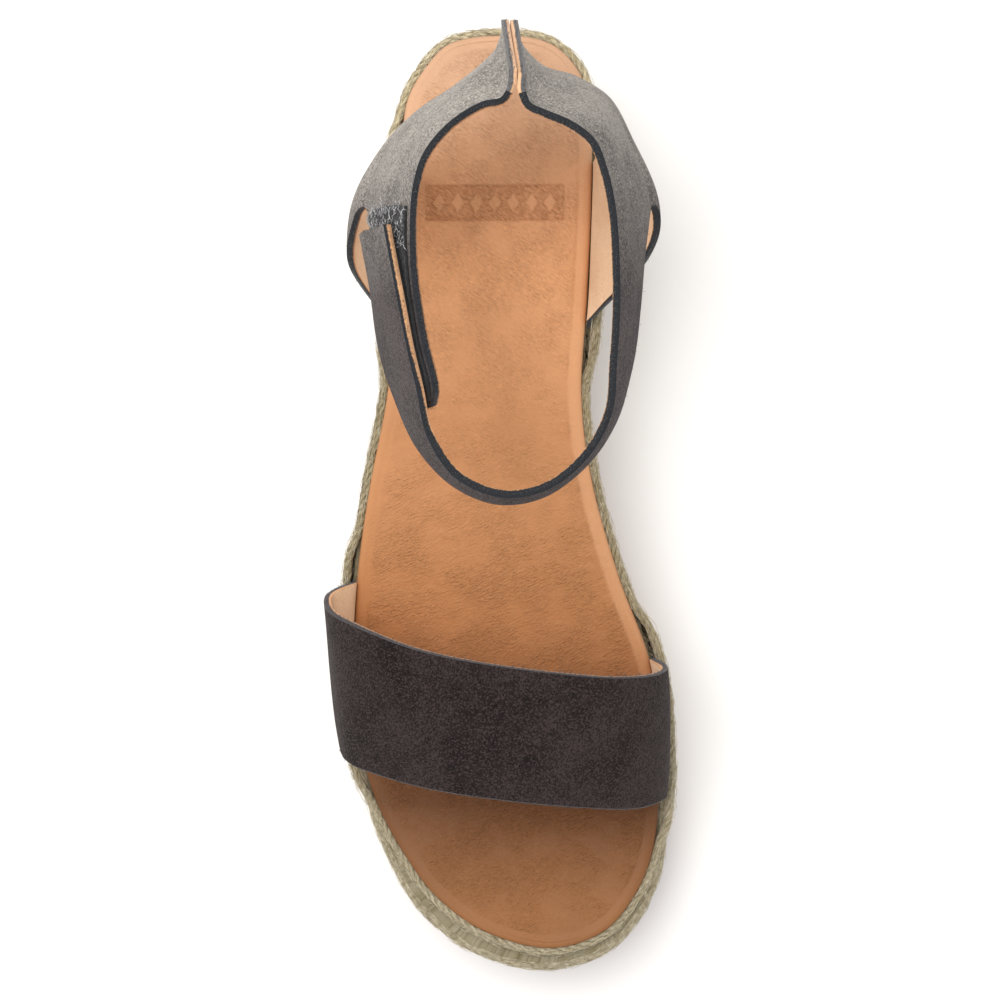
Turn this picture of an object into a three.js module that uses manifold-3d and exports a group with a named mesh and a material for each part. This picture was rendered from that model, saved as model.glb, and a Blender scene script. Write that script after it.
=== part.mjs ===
// A woman's wedge espadrille sandal for the right foot, standing empty on its sole.
// Millimetres, +Z up, toe towards -Y, big-toe side towards +X.
// The origin is on the floor, on the flat tread under the middle of the footbed.

import * as THREE from "three";
import { mergeVertices } from "three/addons/utils/BufferGeometryUtils.js";
import Module from "manifold-3d";

const wasm = await Module();
wasm.setup();

// Footbed, the last's bottom
const footbedLength = 244;
const footbedWidth = 83;
const footbedThickness = 4;
const footbedRounding = 1.8;

// Sole stack
const outsoleThickness = 3.5;
const ropeRow = 5.5; // height of one wound row of jute
const platformRows = 4;
const heelLift = 24.2; // how far the wedge lifts the heel above the forefoot
const wedgeToeEnd = 1; // thickness at which the wedge's front edge is cut off
const rowDepth = 1; // how deep the groove between two rows is
const rowShoulder = 0.22; // share of a row's height that its rounded shoulder takes
const faceInset = 0.15; // how far a row's face stays inside the wall, as a share of the groove
const toeSpring = 8;
const toeFlare = 1; // how far the toe wall leans out at the tread
const wallDraft = 0.03; // how much the wall leans in per millimetre down from the footbed
const juteOverhang = { lateral: 2.4, medial: 1.5 }; // jute wall outside the footbed's edge
const toeOverhang = { lateral: 5.4, medial: 3.4 }; // how much further it stands out at the toe
const outsoleLip = 0.5;

// Edge rope round the footbed
const ropeDiameter = 2.3;
const ropeTuck = 0.7; // how far the rope tucks in under the footbed's rounded edge

// Upper
const upperWall = 2;
const footWall = 1.1; // a strap's end, skived thin where it goes under the rope
const bandRise = 37; // arch of the toe band above the forefoot footbed
const collarRise = 75; // top of the collar above the heel of the footbed
const footStand = 4.6; // upright part of a strap's foot, between footbed and rope

// Hook and loop closure
const patchThickness = 0.6;
const patchMargin = { top: 0.04, low: 0.12 }; // shares of a strap's width left bare round a patch

const gap = 0.3; // clearance between pieces that meet

const footbedTable = [
  // Half outline of the footbed at each section: shares of its length and width.
  { along: 0.004, lateral: 0.173, medial: 0.152 },
  { along: 0.03, lateral: 0.249, medial: 0.235 },
  { along: 0.061, lateral: 0.302, medial: 0.272 },
  { along: 0.1, lateral: 0.321, medial: 0.284 },
  { along: 0.17, lateral: 0.322, medial: 0.284 },
  { along: 0.275, lateral: 0.342, medial: 0.27 },
  { along: 0.389, lateral: 0.379, medial: 0.25 },
  { along: 0.482, lateral: 0.438, medial: 0.284 },
  { along: 0.583, lateral: 0.487, medial: 0.366 },
  { along: 0.684, lateral: 0.506, medial: 0.471 },
  { along: 0.765, lateral: 0.494, medial: 0.499 },
  { along: 0.84, lateral: 0.432, medial: 0.495 },
  { along: 0.901, lateral: 0.33, medial: 0.468 },
  { along: 0.94, lateral: 0.238, medial: 0.415 },
  { along: 0.977, lateral: 0.084, medial: 0.32 },
];
const heelTip = { along: -0.005, across: 0.006 };
const toeTip = { along: 0.996, across: 0.147 };

// Side profile of the line that the footbed lies on: share of the length, share of the heel lift.
const liftTable = [
  { along: -0.05, lift: 1 },
  { along: 0.12, lift: 1 },
  { along: 0.25, lift: 0.965 },
  { along: 0.38, lift: 0.8 },
  { along: 0.5, lift: 0.54 },
  { along: 0.62, lift: 0.24 },
  { along: 0.7, lift: 0.075 },
  { along: 0.76, lift: 0 },
  { along: 0.85, lift: 0 },
  { along: 1.06, lift: 0 },
];
const springStart = 0.79; // share of the length where the tread starts to leave the floor

const outlinePoints = 72;
const profileSteps = 40;

const platformHeight = ropeRow * platformRows;
const platformBottom = outsoleThickness + gap;
const alongToY = (along) => footbedLength * (0.5 - along);
const yToAlong = (y) => 0.5 - y / footbedLength;
const ease = (t) => t * t * (3 - 2 * t);
const clamp01 = (t) => Math.min(1, Math.max(0, t));

// A closed mesh becomes a solid, whichever way its faces were wound.
function toSolid(geometry) {
  const bare = geometry.index ? geometry.clone() : geometry;
  bare.deleteAttribute("normal");
  bare.deleteAttribute("uv");
  const merged = mergeVertices(bare, 1e-4);
  const triVerts = new Uint32Array(merged.index.array);
  const vertProperties = merged.attributes.position.array;
  const build = () => new wasm.Manifold(new wasm.Mesh({ numProp: 3, vertProperties, triVerts }));
  const made = build();
  if (made.volume() > 0) return made;
  for (let i = 0; i < triVerts.length; i += 3) {
    [triVerts[i + 1], triVerts[i + 2]] = [triVerts[i + 2], triVerts[i + 1]];
  }
  return build();
}

function toGeometry(solid) {
  const mesh = solid.getMesh();
  const geometry = new THREE.BufferGeometry();
  geometry.setAttribute("position", new THREE.BufferAttribute(mesh.vertProperties, 3));
  geometry.setIndex(new THREE.BufferAttribute(mesh.triVerts, 1));
  return geometry;
}

function indexed(points, faces) {
  const geometry = new THREE.BufferGeometry().setFromPoints(points);
  return geometry.setIndex(faces);
}

// Footbed outline, anticlockwise from the heel tip, with its outward normals.
const outlineCurve = new THREE.CatmullRomCurve3(
  [
    [heelTip.along, heelTip.across],
    ...footbedTable.map((row) => [row.along, -row.lateral]),
    [toeTip.along, toeTip.across],
    ...footbedTable.map((row) => [row.along, row.medial]).reverse(),
  ].map(([along, across]) => new THREE.Vector3(across * footbedWidth, alongToY(along), 0)),
  true,
  "centripetal",
);

const outline = Array.from({ length: outlinePoints }, (_, i) => {
  const at = i / outlinePoints;
  const point = outlineCurve.getPointAt(at);
  const tangent = outlineCurve.getTangentAt(at);
  return { point, normal: new THREE.Vector3(tangent.y, -tangent.x, 0).negate() };
});
const turn = Math.sign(outline[0].normal.y) || 1; // the heel's normal points to +Y
outline.forEach(({ normal }) => normal.multiplyScalar(turn));

// A point beside the footbed's edge, at a given Y on the little-toe (-1) or big-toe (+1) side.
function beside(side, y, offset) {
  const ring = outline.map(({ point, normal }) => point.clone().addScaledVector(normal, offset));
  for (let i = 0; i < ring.length; i += 1) {
    const a = ring[i];
    const b = ring[(i + 1) % ring.length];
    const rightSide = Math.sign(a.x + b.x) === side;
    if (rightSide && (a.y - y) * (b.y - y) <= 0) return a.clone().lerp(b, (y - a.y) / (b.y - a.y));
  }
  throw new Error(`the footbed has no edge at ${y}`);
}

// Heights along the shoe, as one polyline that every layer of the sole shares.
const liftCurve = new THREE.CatmullRomCurve3(
  liftTable.map((row) => new THREE.Vector3(alongToY(row.along), row.lift * heelLift, 0)),
  false,
  "centripetal",
);
const liftLine = liftCurve.getPoints(profileSteps);

function lift(y) {
  for (let i = 1; i < liftLine.length; i += 1) {
    const a = liftLine[i - 1];
    const b = liftLine[i];
    if (y >= b.x) return THREE.MathUtils.lerp(a.y, b.y, clamp01((y - a.x) / (b.x - a.x)));
  }
  return liftLine.at(-1).y;
}
const spring = (y) => {
  const share = clamp01((yToAlong(y) - springStart) / (1 - springStart));
  return toeSpring * share * share;
};
const toeShare = (y) => ease(clamp01((yToAlong(y) - springStart) / (1 - springStart)));

const tread = (y) => spring(y);
const outsoleTop = (y) => spring(y) + outsoleThickness;
const platformTop = (y) => spring(y) + platformBottom + platformHeight;
const wedgeBottom = (y) => platformTop(y) + gap;
const footbedBottom = (y) => platformTop(y) + gap + Math.max(0, lift(y));
const wedgeTop = (y) => footbedBottom(y) - gap;
const footbedTop = (y) => footbedBottom(y) + footbedThickness;

// Everything between two height lines: a side profile pushed across the whole width.
function slab(bottom, top, yFrom, yTo) {
  const ys = [yFrom, ...liftLine.map((p) => p.x).filter((y) => y < yFrom && y > yTo), yTo];
  const shape = new THREE.Shape([
    ...ys.map((y) => new THREE.Vector2(y, bottom(y))),
    ...ys.reverse().map((y) => new THREE.Vector2(y, top(y))),
  ]);
  return across(shape, -footbedWidth, footbedWidth);
}

// A shape drawn in the side view (Y, Z), pushed along X.
function across(shape, xFrom, xTo, curveSegments = 6) {
  const depth = xTo - xFrom;
  const geometry = new THREE.ExtrudeGeometry(shape, { depth, bevelEnabled: false, curveSegments });
  const sideView = new THREE.Matrix4().makeBasis(
    new THREE.Vector3(0, 1, 0),
    new THREE.Vector3(0, 0, 1),
    new THREE.Vector3(1, 0, 0),
  );
  return toSolid(geometry.applyMatrix4(sideView).translate(xFrom, 0, 0));
}

// A wall round the outline through rings of { out(y), z(y) }, carried on far below and above them.
function ringWall(middleRings) {
  const rings = [
    { out: middleRings[0].out, z: () => -footbedLength },
    ...middleRings,
    { out: middleRings.at(-1).out, z: () => footbedLength },
  ];
  const points = rings.flatMap((ring) =>
    outline.map(({ point, normal }) => {
      const p = point.clone().addScaledVector(normal, ring.out(point.y, (1 + normal.x) / 2));
      return p.setZ(ring.z(p.y));
    }),
  );
  const count = outline.length;
  const faces = [];
  for (let r = 0; r + 1 < rings.length; r += 1) {
    for (let i = 0; i < count; i += 1) {
      const a = r * count + i;
      const b = r * count + ((i + 1) % count);
      faces.push(a, b, a + count, b, b + count, a + count);
    }
  }
  const cap = (first) => {
    const ring = points.slice(first, first + count);
    return THREE.ShapeUtils.triangulateShape(ring.map((p) => new THREE.Vector2(p.x, p.y)), []);
  };
  const last = (rings.length - 1) * count;
  cap(0).forEach(([a, b, c]) => faces.push(a, c, b));
  cap(last).forEach(([a, b, c]) => faces.push(last + a, last + b, last + c));
  return toSolid(indexed(points, faces));
}

// Rings for wound rows: three faces to a row, with a groove between rows.
function rowRings(rows, bottom, out) {
  const rings = [];
  for (let row = 0; row < rows; row += 1) {
    [
      [0, rowDepth],
      [rowShoulder, rowDepth * faceInset],
      [1 - rowShoulder, rowDepth * faceInset],
    ].forEach(([up, inset]) => {
      const height = (row + up) * ropeRow;
      const ring = (y, share) => out(y, share, height) - inset;
      rings.push({ out: ring, z: (y) => bottom(y) + height });
    });
  }
  const full = rows * ropeRow;
  const last = (y, share) => out(y, share, full) - rowDepth;
  rings.push({ out: last, z: (y) => bottom(y) + full });
  return rings;
}

const pastHeel = footbedLength;
const pastToe = -footbedLength;
function overhang(y, medialShare) {
  const atToe = THREE.MathUtils.lerp(toeOverhang.lateral, toeOverhang.medial, medialShare);
  const side = THREE.MathUtils.lerp(juteOverhang.lateral, juteOverhang.medial, medialShare);
  return side + atToe * toeShare(y);
}
const wallLean = (y, below) => toeFlare * toeShare(y) * clamp01(below / platformHeight) - wallDraft * below;
const stackHeight = (y) => wedgeTop(y) - spring(y);

function makeOutsole() {
  const edge = (y, medialShare) =>
    overhang(y, medialShare) + outsoleLip + wallLean(y, stackHeight(y));
  const wall = ringWall([{ out: edge, z: tread }, { out: edge, z: outsoleTop }]);
  return wall.intersect(slab(tread, outsoleTop, pastHeel, pastToe));
}

function makePlatform() {
  const bottom = (y) => spring(y) + platformBottom;
  const below = (y, height) => stackHeight(y) - platformBottom - height;
  const out = (y, medialShare, height) => overhang(y, medialShare) + wallLean(y, below(y, height));
  const wall = ringWall(rowRings(platformRows, bottom, out));
  return wall.intersect(slab(bottom, platformTop, pastHeel, pastToe));
}

function makeWedge() {
  const rows = Math.ceil(heelLift / ropeRow);
  const below = (y, height) => wedgeTop(y) - wedgeBottom(y) - height;
  const out = (y, medialShare, height) => overhang(y, medialShare) + wallLean(y, below(y, height));
  const wall = ringWall(rowRings(rows, wedgeBottom, out));
  const thin = liftLine.find((p) => wedgeTop(p.x) - wedgeBottom(p.x) < wedgeToeEnd);
  return wall.intersect(slab(wedgeBottom, wedgeTop, pastHeel, thin ? thin.x : pastToe));
}

const tuckRise = 0.45; // height over which the footbed's edge widens above the tucked rope
function makeFootbed() {
  const r = footbedRounding;
  const bevel = r * (1 - Math.SQRT1_2);
  const wall = ringWall([
    { out: () => -ropeTuck, z: footbedBottom },
    { out: () => -ropeTuck, z: (y) => footbedTop(y) - r - tuckRise },
    { out: () => 0, z: (y) => footbedTop(y) - r },
    { out: () => -bevel, z: (y) => footbedTop(y) - bevel },
    { out: () => -r, z: footbedTop },
  ]);
  return wall.intersect(slab(footbedBottom, footbedTop, pastHeel, pastToe));
}

// Where the straps' feet stand beside the footbed, as shares of its length.
const bandFeet = {
  lateral: { back: 0.5911, front: 0.781 },
  medial: { back: 0.6761, front: 0.8255 },
};
const legFoot = { back: 0.134, front: 0.311 };

const ropeRadius = ropeDiameter / 2;
const ropeOut = gap + ropeRadius - ropeTuck;
const ropeSides = 8;
const feet = [
  { side: -1, ...bandFeet.lateral },
  { side: 1, ...bandFeet.medial },
  { side: -1, ...legFoot },
  { side: 1, ...legFoot },
];
const ropeStraight = 0.022; // shares of the length: past a foot, the rope runs straight on,
const ropeBend = 0.045; // and then it bends back to the footbed
function footPush(point) {
  const along = yToAlong(point.y);
  const shares = feet.map(({ side, back, front }) => {
    const past = Math.max(back - along, along - front) - ropeStraight;
    return Math.sign(point.x) === side ? ease(clamp01(1 - past / ropeBend)) : 0;
  });
  return (ropeTuck + footWall + gap) * Math.max(...shares);
}

function makeEdgeRope() {
  const points = [];
  for (const { point, normal } of outline) {
    const out = ropeOut + footPush(point);
    for (let k = 0; k < ropeSides; k += 1) {
      const angle = ((k + 0.5) / ropeSides) * 2 * Math.PI;
      const p = point.clone().addScaledVector(normal, out + ropeRadius * Math.cos(angle));
      const centre = wedgeTop(p.y) + gap + ropeRadius;
      points.push(p.setZ(centre + ropeRadius * Math.sin(angle)));
    }
  }
  const faces = [];
  const wrap = (i, k) => (i % outline.length) * ropeSides + (k % ropeSides);
  for (let i = 0; i < outline.length; i += 1) {
    for (let k = 0; k < ropeSides; k += 1) {
      faces.push(wrap(i, k), wrap(i + 1, k), wrap(i, k + 1));
      faces.push(wrap(i + 1, k), wrap(i + 1, k + 1), wrap(i, k + 1));
    }
  }
  return toSolid(indexed(points, faces));
}

// A curved sheet of leather as one closed solid: `at(s, t)` is its middle surface, and
// `inside(s, t)` and `outside(s, t)` say how far its two faces lie from it.
function sheet(at, [sFrom, sTo, sSteps], [tFrom, tTo, tSteps], inside, outside) {
  const step = 1e-3;
  const points = [];
  for (const offset of [outside, (s, t) => -inside(s, t)]) {
    for (let i = 0; i <= sSteps; i += 1) {
      for (let j = 0; j <= tSteps; j += 1) {
        const s = THREE.MathUtils.lerp(sFrom, sTo, i / sSteps);
        const t = THREE.MathUtils.lerp(tFrom, tTo, j / tSteps);
        const alongS = at(Math.min(sTo, s + step), t).sub(at(Math.max(sFrom, s - step), t));
        const alongT = at(s, Math.min(tTo, t + step)).sub(at(s, Math.max(tFrom, t - step)));
        const normal = alongS.cross(alongT).normalize();
        points.push(at(s, t).addScaledVector(normal, offset(s, t)));
      }
    }
  }
  const width = tSteps + 1;
  const side = (sSteps + 1) * width;
  const id = (face, i, j) => face * side + i * width + j;
  const faces = [];
  const quad = (a, b, c, d) => faces.push(a, b, c, a, c, d);
  for (let i = 0; i < sSteps; i += 1) {
    for (let j = 0; j < tSteps; j += 1) {
      quad(id(0, i, j), id(0, i + 1, j), id(0, i + 1, j + 1), id(0, i, j + 1));
      quad(id(1, i, j), id(1, i, j + 1), id(1, i + 1, j + 1), id(1, i + 1, j));
    }
    quad(id(0, i, 0), id(1, i, 0), id(1, i + 1, 0), id(0, i + 1, 0));
    quad(id(0, i, tSteps), id(0, i + 1, tSteps), id(1, i + 1, tSteps), id(1, i, tSteps));
  }
  for (let j = 0; j < tSteps; j += 1) {
    quad(id(0, 0, j), id(0, 0, j + 1), id(1, 0, j + 1), id(1, 0, j));
    quad(id(0, sSteps, j), id(1, sSteps, j), id(1, sSteps, j + 1), id(0, sSteps, j + 1));
  }
  return toSolid(indexed(points, faces));
}

const halfWall = upperWall / 2;
const footOut = gap + footWall / 2; // a strap's foot stands this far outside the footbed
const even = (thickness) => () => thickness;
const curve = (points) => new THREE.CatmullRomCurve3(points, false, "centripetal");

// Toe band: where its edges pass, from the little-toe foot to the big-toe foot. across is a share
// of the footbed's width, along a share of its length, rise of the band's rise.
const bandEdges = {
  back: [
    { across: -0.566, along: 0.6043, rise: 0.46 },
    { across: -0.548, along: 0.6184, rise: 0.66 },
    { across: -0.455, along: 0.6346, rise: 0.84 },
    { across: -0.25, along: 0.6589, rise: 0.985 },
    { across: 0.06, along: 0.6782, rise: 1 },
    { across: 0.33, along: 0.6883, rise: 0.88 },
    { across: 0.467, along: 0.6883, rise: 0.66 },
    { across: 0.515, along: 0.6832, rise: 0.42 },
  ],
  front: [
    { across: -0.526, along: 0.7749, rise: 0.3 },
    { across: -0.5, along: 0.786, rise: 0.42 },
    { across: -0.4, along: 0.7972, rise: 0.57 },
    { across: -0.22, along: 0.8113, rise: 0.71 },
    { across: 0.02, along: 0.8225, rise: 0.75 },
    { across: 0.28, along: 0.8316, rise: 0.68 },
    { across: 0.43, along: 0.8336, rise: 0.47 },
    { across: 0.505, along: 0.8285, rise: 0.26 },
  ],
};
const bandBow = 0.035; // how far the band bows up between its edges, as a share of its rise
const bandFootShare = 0.12; // share of the band's length, from each foot, that follows the footbed
const bandSteps = { along: 37, across: 5 };

const forefootTop = platformBottom + platformHeight + gap + footbedThickness;

function bandEdge(edge) {
  const foot = (side, along) => {
    const p = beside(side, alongToY(along), footOut);
    const low = p.clone().setZ(footbedBottom(p.y));
    return [low, p.clone().setZ(low.z + footStand)];
  };
  const arch = bandEdges[edge].map(({ across: x, along, rise }) => {
    return new THREE.Vector3(x * footbedWidth, alongToY(along), forefootTop + rise * bandRise);
  });
  const lateralFoot = foot(-1, bandFeet.lateral[edge]);
  const medialFoot = foot(1, bandFeet.medial[edge]).reverse();
  return curve([...lateralFoot, ...arch, ...medialFoot]);
}

function makeToeBand() {
  const back = bandEdge("back");
  const front = bandEdge("front");
  const bandAt = (s, t) => {
    const p = back.getPoint(s).lerp(front.getPoint(s), t);
    p.z += bandBow * bandRise * 4 * t * (1 - t) * Math.sin(Math.PI * s);
    const end = Math.round(s);
    const foot = back.getPoint(end).lerp(front.getPoint(end), t);
    const bulge = beside(end ? 1 : -1, foot.y, footOut).x - foot.x;
    p.x += bulge * ease(clamp01(2 - Math.abs(end - s) / bandFootShare));
    return p;
  };
  const half = (s) => {
    const share = ease(clamp01((0.5 - Math.abs(s - 0.5)) / bandFootShare));
    return THREE.MathUtils.lerp(footWall, upperWall, share) / 2;
  };
  return sheet(bandAt, [0, 1, bandSteps.along], [0, 1, bandSteps.across], half, half);
}

// Collar and ankle strap: upper and lower edge at each station, from the back seam forwards.
// across is a share of the footbed's width, along a share of its length, rise of the collar's rise.
const seam = { topAcross: 0.098, lowAcross: 0.046 };
const finDepth = 5.6; // stitched allowance that stands out behind the back seam
const finMiddle = 0.35; // a station on the way out to its edge, as a share of its depth
const finDrop = { end: 0.02, middle: 0.005 }; // how far its top edge falls, in shares of the rise
const lateralTable = [
  { topAcross: 0.058, topAlong: 0.104, topRise: 1, lowAcross: 0.015, lowAlong: 0.03, lowRise: 0.44 },
  { topAcross: -0.003, topAlong: 0.109, topRise: 1, lowAcross: -0.042, lowAlong: 0.05, lowRise: 0.44 },
  { topAcross: -0.091, topAlong: 0.127, topRise: 0.995, lowAcross: -0.117, lowAlong: 0.07, lowRise: 0.44 },
  { topAcross: -0.163, topAlong: 0.156, topRise: 0.99, lowAcross: -0.228, lowAlong: 0.097, lowRise: 0.445 },
  { topAcross: -0.193, topAlong: 0.188, topRise: 0.985, lowAcross: -0.318, lowAlong: 0.133, lowRise: 0.475 },
  { topAcross: -0.204, topAlong: 0.232, topRise: 0.97, lowAcross: -0.375, lowAlong: 0.186, lowRise: 0.52 },
  { topAcross: -0.2, topAlong: 0.281, topRise: 0.945, lowAcross: -0.308, lowAlong: 0.25, lowRise: 0.58 },
  { topAcross: -0.179, topAlong: 0.336, topRise: 0.905, lowAcross: -0.287, lowAlong: 0.318, lowRise: 0.59 },
  { topAcross: -0.146, topAlong: 0.386, topRise: 0.865, lowAcross: -0.238, lowAlong: 0.387, lowRise: 0.575 },
  { topAcross: -0.158, topAlong: 0.404, topRise: 0.8, lowAcross: -0.222, lowAlong: 0.404, lowRise: 0.62 },
];
const medialTable = [
  { topAcross: 0.13, topAlong: 0.109, topRise: 1, lowAcross: 0.083, lowAlong: 0.0303, lowRise: 0.44 },
  { topAcross: 0.176, topAlong: 0.117, topRise: 1, lowAcross: 0.148, lowAlong: 0.051, lowRise: 0.44 },
  { topAcross: 0.253, topAlong: 0.1285, topRise: 0.995, lowAcross: 0.247, lowAlong: 0.0617, lowRise: 0.44 },
  { topAcross: 0.313, topAlong: 0.1447, topRise: 0.99, lowAcross: 0.338, lowAlong: 0.083, lowRise: 0.445 },
  { topAcross: 0.346, topAlong: 0.172, topRise: 0.985, lowAcross: 0.401, lowAlong: 0.125, lowRise: 0.47 },
  { topAcross: 0.371, topAlong: 0.2135, topRise: 0.97, lowAcross: 0.463, lowAlong: 0.185, lowRise: 0.52 },
  { topAcross: 0.381, topAlong: 0.258, topRise: 0.945, lowAcross: 0.45, lowAlong: 0.2455, lowRise: 0.575 },
  { topAcross: 0.382, topAlong: 0.3075, topRise: 0.92, lowAcross: 0.437, lowAlong: 0.303, lowRise: 0.587 },
  { topAcross: 0.374, topAlong: 0.36, topRise: 0.893, lowAcross: 0.415, lowAlong: 0.36, lowRise: 0.587 },
  { topAcross: 0.359, topAlong: 0.409, topRise: 0.867, lowAcross: 0.363, lowAlong: 0.418, lowRise: 0.573 },
  { topAcross: 0.289, topAlong: 0.453, topRise: 0.84, lowAcross: 0.264, lowAlong: 0.464, lowRise: 0.553 },
  { topAcross: 0.176, topAlong: 0.484, topRise: 0.827, lowAcross: 0.134, lowAlong: 0.493, lowRise: 0.547 },
  { topAcross: 0.05, topAlong: 0.492, topRise: 0.827, lowAcross: 0.007, lowAlong: 0.498, lowRise: 0.547 },
  { topAcross: -0.086, topAlong: 0.4735, topRise: 0.83, lowAcross: -0.116, lowAlong: 0.48, lowRise: 0.553 },
  { topAcross: -0.165, topAlong: 0.4345, topRise: 0.842, lowAcross: -0.218, lowAlong: 0.444, lowRise: 0.567 },
];
// The strap's end lies over the closing tab: where its upper and lower edge are on the tab, how
// far each has peeled off, and how far each runs in, as a share of the strap's width.
const overTab = [
  { topOnTab: 0.9, lowOnTab: 0.9, topPeel: 0.1, lowPeel: 0.3, topIn: 0, lowIn: 0 },
  { topOnTab: 0.825, lowOnTab: 0.84, topPeel: 0, lowPeel: 0.7, topIn: 0, lowIn: 0 },
  { topOnTab: 0.735, lowOnTab: 0.765, topPeel: 0.1, lowPeel: 1, topIn: 0.02, lowIn: 0 },
  { topOnTab: 0.625, lowOnTab: 0.685, topPeel: 1, lowPeel: 0.6, topIn: 0.17, lowIn: 0.06 },
];
const peelMost = 1.2; // how far the strap's tip stands off its closure

const heelTop = platformBottom + platformHeight + gap + heelLift + footbedThickness;
const collarPoint = (acrossShare, along, rise) =>
  new THREE.Vector3(acrossShare * footbedWidth, alongToY(along), heelTop + rise * collarRise);

// Upper and lower edge curves of one quarter; the first stations run along the seam's allowance.
function quarterEdges(table, side, extra = { top: [], low: [] }) {
  const first = table[0];
  const layer = side * (halfWall + gap / 2); // the two quarters lie face to face in the seam
  const fin = (acrossShare, along, rise, back) => {
    const p = collarPoint(acrossShare, along, rise);
    return p.add(new THREE.Vector3(layer, back, 0));
  };
  const root = upperWall; // the sheets turn into the seam within about one wall
  const top = [
    fin(seam.topAcross, first.topAlong, first.topRise - finDrop.end, root + finDepth),
    fin(seam.topAcross, first.topAlong, first.topRise - finDrop.middle, root + finDepth * finMiddle),
    ...table.map((row) => collarPoint(row.topAcross, row.topAlong, row.topRise)),
    ...extra.top,
  ];
  const low = [
    fin(seam.lowAcross, first.lowAlong, first.lowRise, root + finDepth),
    fin(seam.lowAcross, first.lowAlong, first.lowRise, root + finDepth * finMiddle),
    ...table.map((row) => collarPoint(row.lowAcross, row.lowAlong, row.lowRise)),
    ...extra.low,
  ];
  return { top: curve(top), low: curve(low) };
}

const collarBow = 0.04; // outward bow of the collar between its edges, as a share of its height
const bowFrom = 0.125; // share of the strap's length over which the bow grows from the seam
function quarterSurface(edges, side) {
  return (s, t) => {
    const low = edges.low.getPoint(s);
    const top = edges.top.getPoint(s);
    const height = top.distanceTo(low);
    const tangent = edges.low.getTangent(s);
    const out = new THREE.Vector3(-tangent.y, tangent.x, 0).normalize().multiplyScalar(-side);
    const bow = collarBow * height * 4 * t * (1 - t) * ease(clamp01(s / bowFrom));
    return low.lerp(top, t).addScaledVector(out, -bow);
  };
}

const lateralEdges = quarterEdges(lateralTable, -1);
const lateralAt = quarterSurface(lateralEdges, -1);

// The strap's last stations, set off the tab by both patches and their clearances.
const closureStack = upperWall + 2 * patchThickness + 3 * gap;
const overlap = { top: [], low: [] };
const tabStep = 0.01; // how far to each side the tab's direction is read, as a share of its length
function offTab(onTab, edge, peel) {
  const ahead = lateralAt(onTab + tabStep, 0.5);
  const forward = ahead.sub(lateralAt(onTab - tabStep, 0.5)).normalize();
  const up = lateralAt(onTab, 1).sub(lateralAt(onTab, 0));
  const out = forward.cross(up).normalize();
  const off = closureStack + peel * peelMost;
  return lateralAt(onTab, edge).addScaledVector(out, out.x < 0 ? off : -off);
}
for (const row of overTab) {
  const low = offTab(row.lowOnTab, 0, row.lowPeel);
  const top = offTab(row.topOnTab, 1, row.topPeel);
  overlap.low.push(low.clone().lerp(top, row.lowIn));
  overlap.top.push(top.clone().lerp(low, row.topIn));
}
const medialEdges = quarterEdges(medialTable, 1, overlap);
const medialAt = quarterSurface(medialEdges, 1);

// The quarter's leg: from under the collar down to its foot between footbed and rope.
const leg = { back: 0.1, front: 0.345 }; // foot of the leg on the sole, as shares of the length
const legBulge = 0.34; // how far the leg carries on outwards below the collar
const legLap = 0.14; // share of the collar that the leg overlaps
const legFlare = {
  // how far the leather stands out between collar and sole, at the leg's back and front edge
  lateral: { back: 0.5, front: 7.8 },
  medial: { back: 1, front: 10.4 },
};
const lapShare = 0.1; // share of the leg's length that lies on the collar
const standShare = 0.12; // share of the leg's length that stands beside the footbed
const ankleRise = 0.3; // height of the leg's lower bend, as a share of its drop
const skive = { from: 0.7, over: 0.2 }; // shares of the leg's length where it thins to its foot
const legSteps = { along: 12, down: 11 };
function legSurface(quarterAt, side, sBack, sFront) {
  const flares = side < 0 ? legFlare.lateral : legFlare.medial;
  return (s, t) => {
    const at = THREE.MathUtils.lerp(sBack, sFront, s);
    const low = quarterAt(at, 0);
    const lap = quarterAt(at, legLap);
    const foot = beside(side, alongToY(THREE.MathUtils.lerp(leg.back, leg.front, s)), footOut);
    foot.setZ(footbedBottom(foot.y));
    const stand = foot.clone().setZ(foot.z + footStand);
    const drop = low.z - stand.z;
    const out = low.clone().sub(lap).normalize();
    const flare = THREE.MathUtils.lerp(flares.back, flares.front, s) * side;
    const knee = low.clone().addScaledVector(out, drop * legBulge);
    knee.x += flare;
    const ankle = stand.clone().setZ(stand.z + drop * ankleRise);
    ankle.x += flare;
    const path = new THREE.CubicBezierCurve3(low, knee, ankle, stand);
    if (t < lapShare) return lap.lerp(low, t / lapShare);
    if (t > 1 - standShare) return stand.lerp(foot, (t - 1 + standShare) / standShare);
    return path.getPoint((t - lapShare) / (1 - lapShare - standShare));
  };
}

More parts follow.
